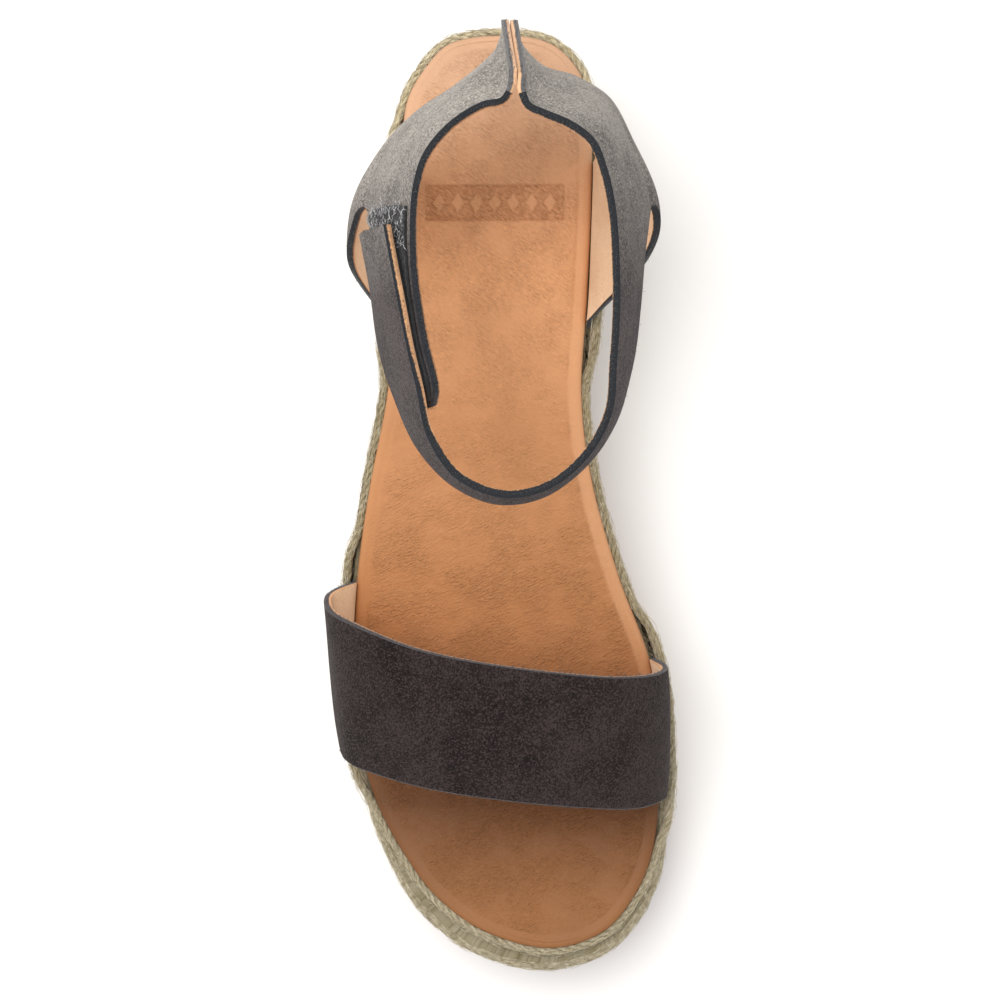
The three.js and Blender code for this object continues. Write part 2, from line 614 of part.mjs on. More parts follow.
// Cuts in the side view that leave the leg's rounded back edge and the fork under the strap:
// along is a share of the footbed's length, rise of the collar's rise.
const backCut = { bend: 0.115, end: 0.04, rise: 0.46 };
const fork = { along: 0.201, rise: 0.545, bendAlong: 0.24, bendRise: 0.33 };
const forkThroat = { along: -0.016, rise: -0.02, below: -0.09 };
const forkLip = { nearAlong: 0.01, farAlong: 0.06, farRise: 0.07 };
const cutEnds = { back: -0.05, front: 0.5 };
function legCuts(side) {
  const y = alongToY;
  const z = (rise) => heelTop + rise * collarRise;
  const floor = footbedBottom(y(legFoot.front)) - footStand;
  const back = new THREE.Shape();
  back.moveTo(y(legFoot.back), floor);
  back.lineTo(y(legFoot.back), heelTop);
  back.quadraticCurveTo(y(backCut.bend), z(backCut.rise), y(backCut.end), z(backCut.rise));
  back.lineTo(y(cutEnds.back), z(backCut.rise));
  back.lineTo(y(cutEnds.back), floor);
  back.closePath();
  const throat = [y(fork.along + forkThroat.along), z(fork.rise + forkThroat.rise)];
  const lipZ = z(fork.rise + forkLip.farRise);
  const front = new THREE.Shape();
  front.moveTo(y(legFoot.front), floor);
  front.lineTo(y(legFoot.front), heelTop - footbedThickness);
  const below = [y(fork.along), z(fork.rise + forkThroat.below)];
  front.quadraticCurveTo(y(fork.bendAlong), z(fork.bendRise), ...below);
  front.quadraticCurveTo(...throat, y(fork.along + forkLip.nearAlong), z(fork.rise));
  front.lineTo(y(fork.along + forkLip.farAlong), lipZ);
  front.lineTo(y(cutEnds.front), lipZ);
  front.lineTo(y(cutEnds.front), floor);
  front.closePath();
  const xs = side < 0 ? [-footbedWidth, 0] : [0, footbedWidth];
  return across(back, ...xs).add(across(front, ...xs));
}

function makeLeg(quarterAt, side, { from, to }) {
  const half = (s, t) => {
    const skived = ease(clamp01((t - skive.from) / skive.over));
    return THREE.MathUtils.lerp(upperWall, footWall, skived) / 2;
  };
  const surface = legSurface(quarterAt, side, from, to);
  const leather = sheet(surface, [0, 1, legSteps.along], [0, 1, legSteps.down], half, half);
  return leather.subtract(legCuts(side));
}

// Where each leg hangs from its quarter, as shares of the quarter's length.
const legSpan = { lateral: { from: 0.36, to: 0.66 }, medial: { from: 0.22, to: 0.43 } };
const quarterSteps = { lateral: 40, medial: 68, across: 4 };

// One quarter, cut in one piece with its leg and with the closing tab or the ankle strap.
function makeQuarter(quarterAt, side, steps, span) {
  const half = even(halfWall);
  const collar = sheet(quarterAt, [0, 1, steps], [0, 1, quarterSteps.across], half, half);
  return collar.add(makeLeg(quarterAt, side, span));
}

// Half of the closure: a patch on one face of a strap, set in from its edges, its end cut aslant.
const hookPatch = { fromTop: 0.588, fromLow: 0.668, to: 0.96, steps: 12 };
const loopPatch = { fromTop: 0.85, fromLow: 0.85, to: 0.985, steps: 8 };
const patchSteps = 3;
function makePatch(quarterAt, { fromTop, fromLow, to, steps }) {
  const near = halfWall + gap;
  const slanted = (s, t) => {
    const from = THREE.MathUtils.lerp(fromLow, fromTop, t);
    return quarterAt(THREE.MathUtils.lerp(from, to, s), t);
  };
  const rows = [patchMargin.low, 1 - patchMargin.top, patchSteps];
  return sheet(slanted, [0, 1, steps], rows, even(-near), even(near + patchThickness));
}

const colours = {
  rubber: { color: 0x7a4a30, roughness: 0.8 },
  jute: { color: 0xb5a882, roughness: 0.95 },
  leather: { color: 0xcf9766, roughness: 0.55 },
  suede: { color: 0x453f41, roughness: 0.95 },
  pile: { color: 0x1c1b1d, roughness: 1 },
};

const sandal = new THREE.Group();
function add(name, solid, finish) {
  const material = new THREE.MeshStandardMaterial({ ...colours[finish], metalness: 0 });
  const mesh = new THREE.Mesh(toGeometry(solid), material);
  mesh.name = name;
  sandal.add(mesh);
}

add("outsole", makeOutsole(), "rubber");
add("jute_platform", makePlatform(), "jute");
add("jute_wedge", makeWedge(), "jute");
add("edge_rope", makeEdgeRope(), "jute");
add("footbed", makeFootbed(), "leather");
add("toe_band", makeToeBand(), "suede");
const lateralQuarter = makeQuarter(lateralAt, -1, quarterSteps.lateral, legSpan.lateral);
const medialQuarter = makeQuarter(medialAt, 1, quarterSteps.medial, legSpan.medial);
add("quarter_tab", lateralQuarter, "suede");
add("quarter_strap", medialQuarter, "suede");
add("closure_hook", makePatch(lateralAt, hookPatch), "pile");
add("closure_loop", makePatch(medialAt, loopPatch), "pile");

export default sandal;
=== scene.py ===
import math
import random
from bisect import bisect_left

import bmesh
import bpy
from mathutils import Matrix, Vector, noise
from mathutils.kdtree import KDTree


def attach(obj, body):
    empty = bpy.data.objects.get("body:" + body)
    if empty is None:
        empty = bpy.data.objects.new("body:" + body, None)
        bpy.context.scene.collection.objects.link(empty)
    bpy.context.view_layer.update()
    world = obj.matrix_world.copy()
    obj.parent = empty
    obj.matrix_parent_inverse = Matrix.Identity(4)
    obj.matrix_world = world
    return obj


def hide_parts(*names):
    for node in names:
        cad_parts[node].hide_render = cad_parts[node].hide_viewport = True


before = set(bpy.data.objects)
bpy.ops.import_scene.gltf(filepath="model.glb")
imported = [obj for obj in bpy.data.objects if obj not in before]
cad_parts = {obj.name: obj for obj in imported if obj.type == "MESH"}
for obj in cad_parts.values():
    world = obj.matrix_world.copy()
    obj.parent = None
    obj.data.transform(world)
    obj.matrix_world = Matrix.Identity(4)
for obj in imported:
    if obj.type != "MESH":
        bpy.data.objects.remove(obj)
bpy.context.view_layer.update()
mm = 0.001
print("frame loaded")


def clamp01(t):
    return min(1.0, max(0.0, t))


def ease(t):
    t = clamp01(t)
    return t * t * (3 - 2 * t)


def mix(a, b, t):
    return a + (b - a) * t


def hump(x, width):
    return math.exp(-((x / width) ** 2))


# Smooth line through a few points; closed for an outline.
def smoothPath(points, closed=False, steps=40):
    points = [Vector(p) for p in points]
    count = len(points)
    spans = count if closed else count - 1
    path = []
    for i in range(spans):
        p1, p2 = points[i], points[(i + 1) % count]
        p0 = points[i - 1] if closed or i > 0 else p1 * 2 - p2
        p3 = points[(i + 2) % count] if closed or i < spans - 1 else p2 * 2 - p1
        d0, d1, d2 = (math.sqrt((b - a).length) for a, b in ((p0, p1), (p1, p2), (p2, p3)))
        t1 = ((p1 - p0) / d0 - (p2 - p0) / (d0 + d1) + (p2 - p1) / d1) * d1
        t2 = ((p2 - p1) / d1 - (p3 - p1) / (d1 + d2) + (p3 - p2) / d2) * d1
        for k in range(steps):
            t = k / steps
            square = (3 * (p2 - p1) - 2 * t1 - t2) * t * t
            cube = (2 * (p1 - p2) + t1 + t2) * t * t * t
            path.append(p1 + t1 * t + square + cube)
    if not closed:
        path.append(points[-1])
    return path


def pathAt(path, t):
    x = clamp01(t) * (len(path) - 1)
    i = min(int(x), len(path) - 2)
    return path[i].lerp(path[i + 1], x - i)


# The sizes that the part is built from.
shoe = {
    "length": 244 * mm,
    "width": 83 * mm,
    "footbedThickness": 4 * mm,
    "outsoleThickness": 3.5 * mm,
    "ropeRow": 5.5 * mm,
    "platformRows": 4,
    "heelLift": 24.2 * mm,
    "toeSpring": 8 * mm,
    "springStart": 0.79,
    "gap": 0.3 * mm,
}
gap = shoe["gap"]
footbedTable = [  # share of the length, then half widths on the little-toe and big-toe side
    (0.004, 0.173, 0.152), (0.03, 0.249, 0.235), (0.061, 0.302, 0.272),
    (0.1, 0.321, 0.284), (0.17, 0.322, 0.284), (0.275, 0.342, 0.27),
    (0.389, 0.379, 0.25), (0.482, 0.438, 0.284), (0.583, 0.487, 0.366),
    (0.684, 0.506, 0.471), (0.765, 0.494, 0.499), (0.84, 0.432, 0.495),
    (0.901, 0.33, 0.468), (0.94, 0.238, 0.415), (0.977, 0.084, 0.32),
]
liftTable = [  # share of the length, share of the heel lift
    (-0.05, 1), (0.12, 1), (0.25, 0.965), (0.38, 0.8), (0.5, 0.54),
    (0.62, 0.24), (0.7, 0.075), (0.76, 0), (0.85, 0), (1.06, 0),
]


def alongToY(along):
    return shoe["length"] * (0.5 - along)


def yToAlong(y):
    return 0.5 - y / shoe["length"]


outlinePoints = [(0.006, -0.005)]
outlinePoints += [(-row[1], row[0]) for row in footbedTable]
outlinePoints += [(0.147, 0.996)]
outlinePoints += [(row[2], row[0]) for row in reversed(footbedTable)]
outlineSteps = 60
outline = smoothPath(
    [(x * shoe["width"], alongToY(a), 0) for x, a in outlinePoints], True, outlineSteps
)
outline.append(outline[0])
outlineLengths = [0.0]
for here, there in zip(outline, outline[1:]):
    outlineLengths.append(outlineLengths[-1] + (there - here).length)
perimeter = outlineLengths[-1]
toeArc = outlineLengths[(len(footbedTable) + 1) * outlineSteps] / perimeter


# Point on the footbed's edge and its outward direction, by share of the perimeter from the heel.
def outlineAt(share):
    share = share % 1.0
    i = min(max(bisect_left(outlineLengths, share * perimeter), 1), len(outline) - 1)
    a, b = outline[i - 1], outline[i]
    span = outlineLengths[i] - outlineLengths[i - 1]
    point = a.lerp(b, (share * perimeter - outlineLengths[i - 1]) / span)
    before, after = outline[i - 2 if i > 1 else -2], outline[i + 1 if i + 1 < len(outline) else 1]
    tangent = (after - before).normalized()
    return point, Vector((tangent.y, -tangent.x, 0))


edgeTree = KDTree(len(outline))
for i, p in enumerate(outline):
    edgeTree.insert(p, i)
edgeTree.balance()

liftPath = smoothPath([(alongToY(a), share * shoe["heelLift"], 0) for a, share in liftTable])
liftKeys = [-p.x for p in liftPath]


def lift(y):
    i = min(max(bisect_left(liftKeys, -y), 1), len(liftPath) - 1)
    a, b = liftPath[i - 1], liftPath[i]
    return max(0.0, mix(a.y, b.y, clamp01((a.x - y) / (a.x - b.x))))


def toeShare(y):
    return clamp01((yToAlong(y) - shoe["springStart"]) / (1 - shoe["springStart"]))


def spring(y):
    return shoe["toeSpring"] * toeShare(y) ** 2


platformHeight = shoe["ropeRow"] * shoe["platformRows"]
platformBottom = shoe["outsoleThickness"] + gap


def platformTop(y):
    return spring(y) + platformBottom + platformHeight


def footbedBottom(y):
    return platformTop(y) + gap + lift(y)


def footbedTop(y):
    return footbedBottom(y) + shoe["footbedThickness"]


heelTop = platformBottom + platformHeight + gap + shoe["heelLift"] + shoe["footbedThickness"]
forefootTop = heelTop - shoe["heelLift"]


# A grid whose columns and rows stand at the given values, with every corner put in place.
def shapedGrid(columns, rows, place, bm=None, uvSize=(1, 1)):
    bm = bm or bmesh.new()
    made = bmesh.ops.create_grid(
        bm, x_segments=len(columns) - 1, y_segments=len(rows) - 1, size=1, calc_uvs=False
    )
    verts = made["verts"]
    xs, ys = [v.co.x for v in verts], [v.co.y for v in verts]
    x0, x1, y0, y1 = min(xs), max(xs), min(ys), max(ys)
    uv = bm.loops.layers.uv.verify()
    spots = {}
    for v in verts:
        i = round((v.co.x - x0) / (x1 - x0) * (len(columns) - 1))
        j = round((v.co.y - y0) / (y1 - y0) * (len(rows) - 1))
        spots[v] = (columns[i], rows[j])
    for face in {f for v in verts for f in v.link_faces}:
        for loop in face.loops:
            s, t = spots[loop.vert]
            loop[uv].uv = (s * uvSize[0], t * uvSize[1])
    for v, (s, t) in spots.items():
        v.co = place(s, t)
    return bm


def evenly(low, high, count):
    return [mix(low, high, i / count) for i in range(count + 1)]


def closeMesh(bm, merge=0.01 * mm):
    bmesh.ops.remove_doubles(bm, verts=bm.verts, dist=merge)
    bmesh.ops.dissolve_degenerate(bm, edges=bm.edges, dist=merge / 2)
    bmesh.ops.recalc_face_normals(bm, faces=bm.faces)


def fillEnds(bm):
    rim = [e for e in bm.edges if len(e.link_faces) == 1]
    filled = bmesh.ops.holes_fill(bm, edges=rim, sides=0)
    bmesh.ops.triangulate(bm, faces=filled["faces"])
    bmesh.ops.recalc_face_normals(bm, faces=bm.faces)


def makePiece(bm, name, materials, stands=()):
    mesh = bpy.data.meshes.new(name)
    bm.to_mesh(mesh)
    bm.free()
    mesh.shade_smooth()
    for material in materials:
        mesh.materials.append(material)
    piece = bpy.data.objects.new(name, mesh)
    bpy.context.scene.collection.objects.link(piece)
    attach(piece, "root")
    if stands:
        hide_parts(*stands)
    mesh.calc_loop_triangles()
    print("made", name, len(mesh.loop_triangles), "triangles")
    return piece


# Gives a single sheet its thickness: the outer face, the lining and a rounded rim between them.
# halves(v) is half the thickness there; faces get material 0, 1 and 2, or rimKind's on the rim.
def thicken(bm, halves, rimRound=0.45 * mm, flip=False, rimKind=None):
    bm.normal_update()
    out = bm.verts.layers.float_vector.new("out")
    half = bm.verts.layers.float.new("half")
    depth = bm.verts.layers.float.new("depth")
    sign = -1 if flip else 1
    for v in bm.verts:
        v[out] = v.normal * sign
        v[half] = halves(v)
    inner = bm.faces[:]
    made = bmesh.ops.extrude_face_region(bm, geom=inner, use_keep_orig=True)
    outerVerts = {g for g in made["geom"] if isinstance(g, bmesh.types.BMVert)}
    outer = {g for g in made["geom"] if isinstance(g, bmesh.types.BMFace)}
    for v in bm.verts:
        if v in outerVerts:
            v.co = v.co + v[out] * v[half]
            v[depth] = 1
        else:
            v.co = v.co - v[out] * v[half]
            v[depth] = 0
    inner = set(inner)
    for f in bm.faces:
        f.material_index = 0 if f in outer else 1 if f in inner else 2
    rimEdges = [e for e in bm.edges if sum(f.material_index == 2 for f in e.link_faces) == 1]
    rounded = bmesh.ops.bevel(
        bm, geom=rimEdges, offset=rimRound, segments=2, profile=0.5, affect="EDGES",
        material=-1, clamp_overlap=True,
    )
    for f in rounded["faces"]:
        f.material_index = 2
    if rimKind:
        for f in bm.faces:
            if f.material_index == 2:
                f.material_index = rimKind(f.calc_center_median())
    bmesh.ops.recalc_face_normals(bm, faces=bm.faces)
    bm.verts.layers.float_vector.remove(bm.verts.layers.float_vector["out"])


# Finishes


class Finish:
    def __init__(self, name, values):
        self.material = bpy.data.materials.new(name)
        self.material.use_nodes = True
        self.nodes = self.material.node_tree.nodes
        self.links = self.material.node_tree.links
        self.shader = self.nodes["Principled BSDF"]
        for socket, value in values.items():
            self.shader.inputs[socket].default_value = value
        self.coordinates = self.nodes.new("ShaderNodeTexCoord")
        self.height = None

    def node(self, kind, **settings):
        made = self.nodes.new(kind)
        for key, value in settings.items():
            setattr(made, key, value)
        return made

    # One part of the place in the shoe's own frame: X across, Y along.
    def side(self, axis):
        split = self.node("ShaderNodeSeparateXYZ")
        self.links.new(self.coordinates.outputs["Object"], split.inputs["Vector"])
        return split.outputs[axis]

    def attribute(self, name):
        return self.node("ShaderNodeAttribute", attribute_name=name).outputs["Fac"]

    def place(self, stretch=(1, 1, 1), turn=(0, 0, 0), source="Object"):
        mapping = self.node("ShaderNodeMapping", vector_type="TEXTURE")
        mapping.inputs["Scale"].default_value = [1 / s for s in stretch]
        mapping.inputs["Rotation"].default_value = [math.radians(a) for a in turn]
        self.links.new(self.coordinates.outputs[source], mapping.inputs["Vector"])
        return mapping.outputs["Vector"]

    def noise(self, scale, detail=3, rough=0.55, **placing):
        made = self.node("ShaderNodeTexNoise")
        made.inputs["Scale"].default_value = scale
        made.inputs["Detail"].default_value = detail
        made.inputs["Roughness"].default_value = rough
        self.links.new(self.place(**placing), made.inputs["Vector"])
        return made.outputs["Fac"]

    def cells(self, scale, feature="DISTANCE_TO_EDGE", **placing):
        made = self.node("ShaderNodeTexVoronoi", feature=feature)
        made.inputs["Scale"].default_value = scale
        self.links.new(self.place(**placing), made.inputs["Vector"])
        return made.outputs["Distance"]

    def ranged(self, value, low, high, toLow=0.0, toHigh=1.0):
        made = self.node("ShaderNodeMapRange")
        for socket, number in zip(("From Min", "From Max", "To Min", "To Max"), (low, high, toLow, toHigh)):
            made.inputs[socket].default_value = number
        self.links.new(value, made.inputs["Value"])
        return made.outputs["Result"]

    def times(self, a, b, operation="MULTIPLY"):
        made = self.node("ShaderNodeMath", operation=operation)
        for socket, value in zip(made.inputs, (a, b)):
            if isinstance(value, (int, float)):
                socket.default_value = value
            else:
                self.links.new(value, socket)
        return made.outputs["Value"]

    def blend(self, share, first, second, kind="MIX"):
        made = self.node("ShaderNodeMix", data_type="RGBA", blend_type=kind)
        for socket, value in ((made.inputs[0], share), (made.inputs[6], first), (made.inputs[7], second)):
            if isinstance(value, (int, float)):
                socket.default_value = value
            elif isinstance(value, tuple):
                socket.default_value = (*value, 1)
            else:
                self.links.new(value, socket)
        return made.outputs[2]

    def colour(self, value):
        self.links.new(value, self.shader.inputs["Base Color"])

    def roughness(self, value):
        self.links.new(value, self.shader.inputs["Roughness"])

    # Adds one layer of relief, its depth in metres, over those that are there.
    def relief(self, value, depth, strength=1.0):
        bump = self.node("ShaderNodeBump")
        bump.inputs["Strength"].default_value = strength
        bump.inputs["Distance"].default_value = depth
        self.links.new(value, bump.inputs["Height"])
        if self.height:
            self.links.new(self.height, bump.inputs["Normal"])
        self.height = bump.outputs["Normal"]
        self.links.new(self.height, self.shader.inputs["Normal"])


suedeLook = {
    "toeBand": {"dark": (0.006, 0.0035, 0.0035), "light": (0.044, 0.032, 0.031)},
    "quarterFront": {"dark": (0.006, 0.004, 0.005), "light": (0.088, 0.072, 0.072)},
    # the pale heel colours are partly dust on the nap, partly painted sheen and light where the key light
    # falls
    "quarterHeel": {"dark": (0.115, 0.106, 0.098), "light": (0.49, 0.453, 0.405)},
    # painted shade: the quarter on the big-toe side faces away from the key light
    "medial": 0.74,  # how much darker the quarter on the big-toe side is
    "dustAndSheen": (0.05, 0.1),  # along the shoe, where the nap turns from dark to pale
}


def makeSuede(name, dark, light, heelDark=None, heelLight=None):
    finish = Finish(name, {"Roughness": 0.95, "Sheen Weight": 0.1, "Sheen Roughness": 0.45})
    finish.shader.inputs["Specular IOR Level"].default_value = 0.1
    finish.shader.inputs["Sheen Tint"].default_value = (0.8, 0.76, 0.73, 1)
    clouds = finish.noise(55, 5, 0.65, stretch=(1, 0.6, 1), turn=(0, 0, -20))
    nap = finish.noise(520, 4, 0.7, stretch=(1, 0.8, 1), turn=(0, 0, -25))
    fibre = finish.noise(2300, 2, 0.7, stretch=(1, 0.75, 1), turn=(0, 0, -30))
    speck = finish.noise(1900, 0, 0.5)
    share = finish.ranged(nap, 0.34, 0.66, 0.15, 0.85)
    share = finish.times(finish.ranged(clouds, 0.36, 0.64), share, "ADD")
    share = finish.times(finish.times(share, 0.5), finish.ranged(fibre, 0.34, 0.66, 0.1, 1.7))
    share = finish.times(share, finish.ranged(speck, 0.58, 0.74, 0, 1.5), "ADD")
    colour = finish.blend(share, dark, light)
    if heelDark:
        pale = finish.blend(share, heelDark, heelLight)
        # painted shade on the big-toe side
        medial = finish.ranged(finish.side("X"), -0.01, 0.025)
        pale = finish.blend(medial, pale, (suedeLook["medial"],) * 3, "MULTIPLY")
        # paler towards the heel: dust, and painted sheen and light
        towardsHeel = finish.ranged(finish.side("Y"), *suedeLook["dustAndSheen"])
        colour = finish.blend(towardsHeel, colour, pale)
    finish.colour(colour)
    finish.relief(clouds, 0.8 * mm, 0.4)
    finish.relief(nap, 0.5 * mm, 0.7)
    finish.relief(fibre, 0.35 * mm, 1.0)
    return finish.material


leatherLook = {
    # where along the shoe, and the skin's colour there: heel, seat, waist, ball, toes, tip. The seat is
    # painted paler against the quarters' shade; the toes under the band are darkest from wear and painted
    # shade
    "stops": [
        (0.11, (0.58, 0.34, 0.205)), (0.06, (0.72, 0.37, 0.18)), (0.02, (0.54, 0.25, 0.108)),
        (-0.03, (0.44, 0.19, 0.072)), (-0.082, (0.13, 0.05, 0.016)), (-0.112, (0.27, 0.113, 0.04)),
    ],
    # painted highlight on the rolled border
    "borderHighlight": (0.80, 0.46, 0.26),  # the rolled border on the big-toe side of the waist
    "deep": 0.8,  # how much darker the skin's clouds are
    "pore": (0.3, 0.125, 0.05),
    "ridge": 1.5,  # how much paler the skin is on the folds' ridges
    "stamp": (0.38, 0.17, 0.075),
}


def makeFootbedLeather():
    finish = Finish("footbedLeather", {})
    finish.shader.inputs["Specular IOR Level"].default_value = 0.22
    clouds = finish.noise(45, 3, 0.55, stretch=(1, 0.7, 1))
    patches = finish.noise(110, 2, 0.5)
    heelFolds = finish.noise(1700, 3, 0.6, stretch=(0.4, 1, 1), turn=(0, 0, -32))
    ballFolds = finish.noise(1900, 3, 0.6, stretch=(0.36, 1, 1), turn=(0, 0, 28))
    heelCreases = finish.cells(1250, stretch=(0.42, 1, 1), turn=(0, 0, -38))
    ballCreases = finish.cells(1400, stretch=(0.34, 1, 1), turn=(0, 0, 26))
    crumple = finish.noise(620, 2, 0.5, stretch=(0.6, 1, 1), turn=(0, 0, 10))
    pores = finish.noise(2600, 2, 0.6)
    edge = finish.attribute("edge")
    stamp = finish.attribute("stamp")
    along = finish.side("Y")
    stops = leatherLook["stops"]
    # the stops carry painted light on the seat and painted shade under the toe band
    colour = stops[0][1]
    for (before, _), (after, skin) in zip(stops, stops[1:]):
        colour = finish.blend(finish.ranged(along, before, after), colour, skin)
    deep = (leatherLook["deep"],) * 3
    colour = finish.blend(finish.ranged(clouds, 0.35, 0.65, 0.5, 0), colour, deep, "MULTIPLY")
    heel = finish.ranged(along, -0.01, 0.045)
    folds = finish.blend(heel, ballFolds, heelFolds)
    creases = finish.ranged(finish.blend(heel, ballCreases, heelCreases), 0, 0.2)
    calm = finish.times(finish.ranged(patches, 0.35, 0.6, 0.35, 1), finish.ranged(edge, 0, 1, 1, 0.25))
    across = finish.ranged(finish.side("X"), 0.004, 0.022)
    waist = finish.times(finish.ranged(along, -0.07, -0.03), finish.ranged(along, 0.055, 0.02))
    # painted highlight along the rolled border on the big-toe side of the waist
    borderHighlight = finish.times(finish.times(edge, across), waist)
    colour = finish.blend(finish.times(borderHighlight, 0.3), colour, leatherLook["borderHighlight"])
    dark = finish.times(finish.ranged(folds, 0.5, 0.34, 0, 0.22), calm)
    colour = finish.blend(dark, colour, leatherLook["pore"])
    pale = finish.times(finish.ranged(folds, 0.54, 0.68, 0, 0.3), calm)
    colour = finish.blend(pale, colour, (leatherLook["ridge"],) * 3, "MULTIPLY")
    dark = finish.times(finish.ranged(creases, 0.5, 0, 0, 0.2), calm)
    colour = finish.blend(dark, colour, leatherLook["pore"])
    colour = finish.blend(finish.ranged(pores, 0.36, 0.28, 0, 0.3), colour, leatherLook["pore"])
    mottled = finish.times(stamp, finish.ranged(folds, 0.35, 0.6, 0.8, 0.25))
    finish.colour(finish.blend(mottled, colour, leatherLook["stamp"]))
    finish.roughness(finish.ranged(pores, 0.3, 0.7, 0.42, 0.6))
    finish.relief(finish.times(creases, calm), 0.08 * mm, 1.0)
    finish.relief(finish.times(folds, calm), 0.62 * mm, 1.0)
    finish.relief(finish.times(crumple, calm), 0.5 * mm, 0.7)
    finish.relief(pores, 0.1 * mm, 0.6)
    return finish.material


def makeLining():
    finish = Finish("tanLining", {"Roughness": 0.62})
    finish.shader.inputs["Specular IOR Level"].default_value = 0.3
    clouds = finish.noise(60, 3)
    grain = finish.noise(1500, 4, 0.65)
    colour = finish.blend(finish.ranged(clouds, 0.3, 0.7), (0.71, 0.49, 0.315), (0.84, 0.63, 0.44))
    colour = finish.blend(finish.ranged(grain, 0.45, 0.3, 0, 0.35), colour, (0.42, 0.22, 0.11))
    finish.colour(colour)
    finish.relief(grain, 0.25 * mm, 0.8)
    return finish.material


# A cut edge: the suede's dyed edge outside, the lining's edge inside.
def makeCutEdge(name, outer, lining, share, fastened=0):
    finish = Finish(name, {"Roughness": 0.8, "Sheen Weight": 0.15})
    finish.shader.inputs["Specular IOR Level"].default_value = 0.25
    fuzz = finish.noise(1500, 4, 0.65)
    depth = finish.times(finish.attribute("depth"), finish.ranged(fuzz, 0.3, 0.7, -0.08, 0.08), "ADD")
    if fastened:
        # the lining shows more where the strap lies on the tab
        onTab = finish.ranged(finish.side("X"), -0.012, -0.019, 0, fastened)
        depth = finish.times(depth, onTab, "SUBTRACT")
    step = finish.ranged(depth, share - 0.06, share + 0.06)
    darker = finish.blend(finish.ranged(fuzz, 0.35, 0.7), outer, tuple(2.1 * c for c in outer))
    finish.colour(finish.blend(step, lining, darker))
    finish.relief(fuzz, 0.2 * mm, 0.8)
    return finish.material


juteLook = {
    "pale": (0.56, 0.50, 0.37),
    "straw": (0.37, 0.305, 0.18),
    "olive": (0.165, 0.13, 0.06),
}


def makeJute(name, turn, tint=1.0, paintedLightAndShade=0.3):
    finish = Finish(name, {"Roughness": 0.85, "Sheen Weight": 0.2, "Sheen Roughness": 0.5})
    finish.shader.inputs["Specular IOR Level"].default_value = 0.25
    plies = finish.noise(260, 2, 0.5, source="UV", stretch=(0.5, 1.6, 1), turn=(0, 0, turn))
    fibre = finish.noise(1400, 4, 0.7, source="UV", stretch=(0.12, 1.5, 1), turn=(0, 0, turn))
    patches = finish.noise(70, 3, 0.6)
    pale, straw, olive = (tuple(c * tint for c in juteLook[k]) for k in ("pale", "straw", "olive"))
    colour = finish.blend(finish.ranged(plies, 0.3, 0.7), straw, pale)
    colour = finish.blend(finish.ranged(fibre, 0.52, 0.34, 0, 0.85), colour, olive)
    colour = finish.blend(finish.ranged(patches, 0.5, 0.75, 0, 0.35), colour, straw)
    # painted shade: the crevices between rows and strands, and the wall's caps, are darkened towards olive
    creviceShade = finish.attribute("creviceShade")
    colour = finish.blend(finish.times(creviceShade, 0.55), colour, tuple(c * 0.5 for c in olive))
    # painted light: paler at the heel where the key light falls; painted shade: darker at the waist
    along = finish.side("Y")
    heel = finish.ranged(along, 0.055, 0.11)
    waist = finish.times(finish.ranged(along, -0.07, -0.035), finish.ranged(along, 0.07, 0.03))
    colour = finish.blend(finish.times(waist, paintedLightAndShade), colour, (0.8, 0.76, 0.62), "MULTIPLY")
    finish.colour(finish.blend(finish.times(heel, paintedLightAndShade), colour, (1.5, 1.5, 1.42), "MULTIPLY"))
    finish.relief(plies, 0.35 * mm, 0.6)
    finish.relief(fibre, 0.3 * mm, 1.0)
    return finish.material


def makeFibreJute():
    finish = Finish("fibreJute", {"Roughness": 0.8, "Sheen Weight": 0.15})
    finish.shader.inputs["Specular IOR Level"].default_value = 0.3
    shade = finish.noise(900, 2, 0.6)
    pale = tuple(1.2 * c for c in juteLook["pale"])
    finish.colour(finish.blend(finish.ranged(shade, 0.35, 0.65), juteLook["straw"], pale))
    return finish.material


def makeRubber():
    finish = Finish("treadRubber", {"Roughness": 0.7})
    clouds = finish.noise(70, 3)
    grit = finish.noise(1200, 3)
    colour = finish.blend(finish.ranged(clouds, 0.3, 0.7), (0.22, 0.105, 0.06), (0.33, 0.17, 0.1))
    finish.colour(colour)
    tread = finish.cells(260, "F1")
    finish.relief(finish.ranged(tread, 0.25, 0.55), 0.35 * mm, 0.8)
    finish.relief(grit, 0.06 * mm, 0.6)
    return finish.material


def makePile(name, colour, light, sheen):
    finish = Finish(name, {"Roughness": 0.9, "Sheen Weight": sheen})
    loops = finish.cells(900, "F1")
    tufts = finish.noise(700, 3)
    finish.colour(finish.blend(finish.ranged(tufts, 0.3, 0.7), colour, light))
    finish.relief(loops, 0.25 * mm, 1.0)
    return finish.material


def makeNylon():
    finish = Finish("clearNylon", {"IOR": 1.53, "Transmission Weight": 0.35})
    threads = finish.noise(800, 3)
    finish.colour(finish.blend(finish.ranged(threads, 0.35, 0.65), (0.3, 0.3, 0.31), (0.85, 0.85, 0.86)))
    finish.roughness(finish.ranged(threads, 0.3, 0.7, 0.15, 0.35))
    finish.relief(threads, 0.1 * mm, 0.5)
    return finish.material


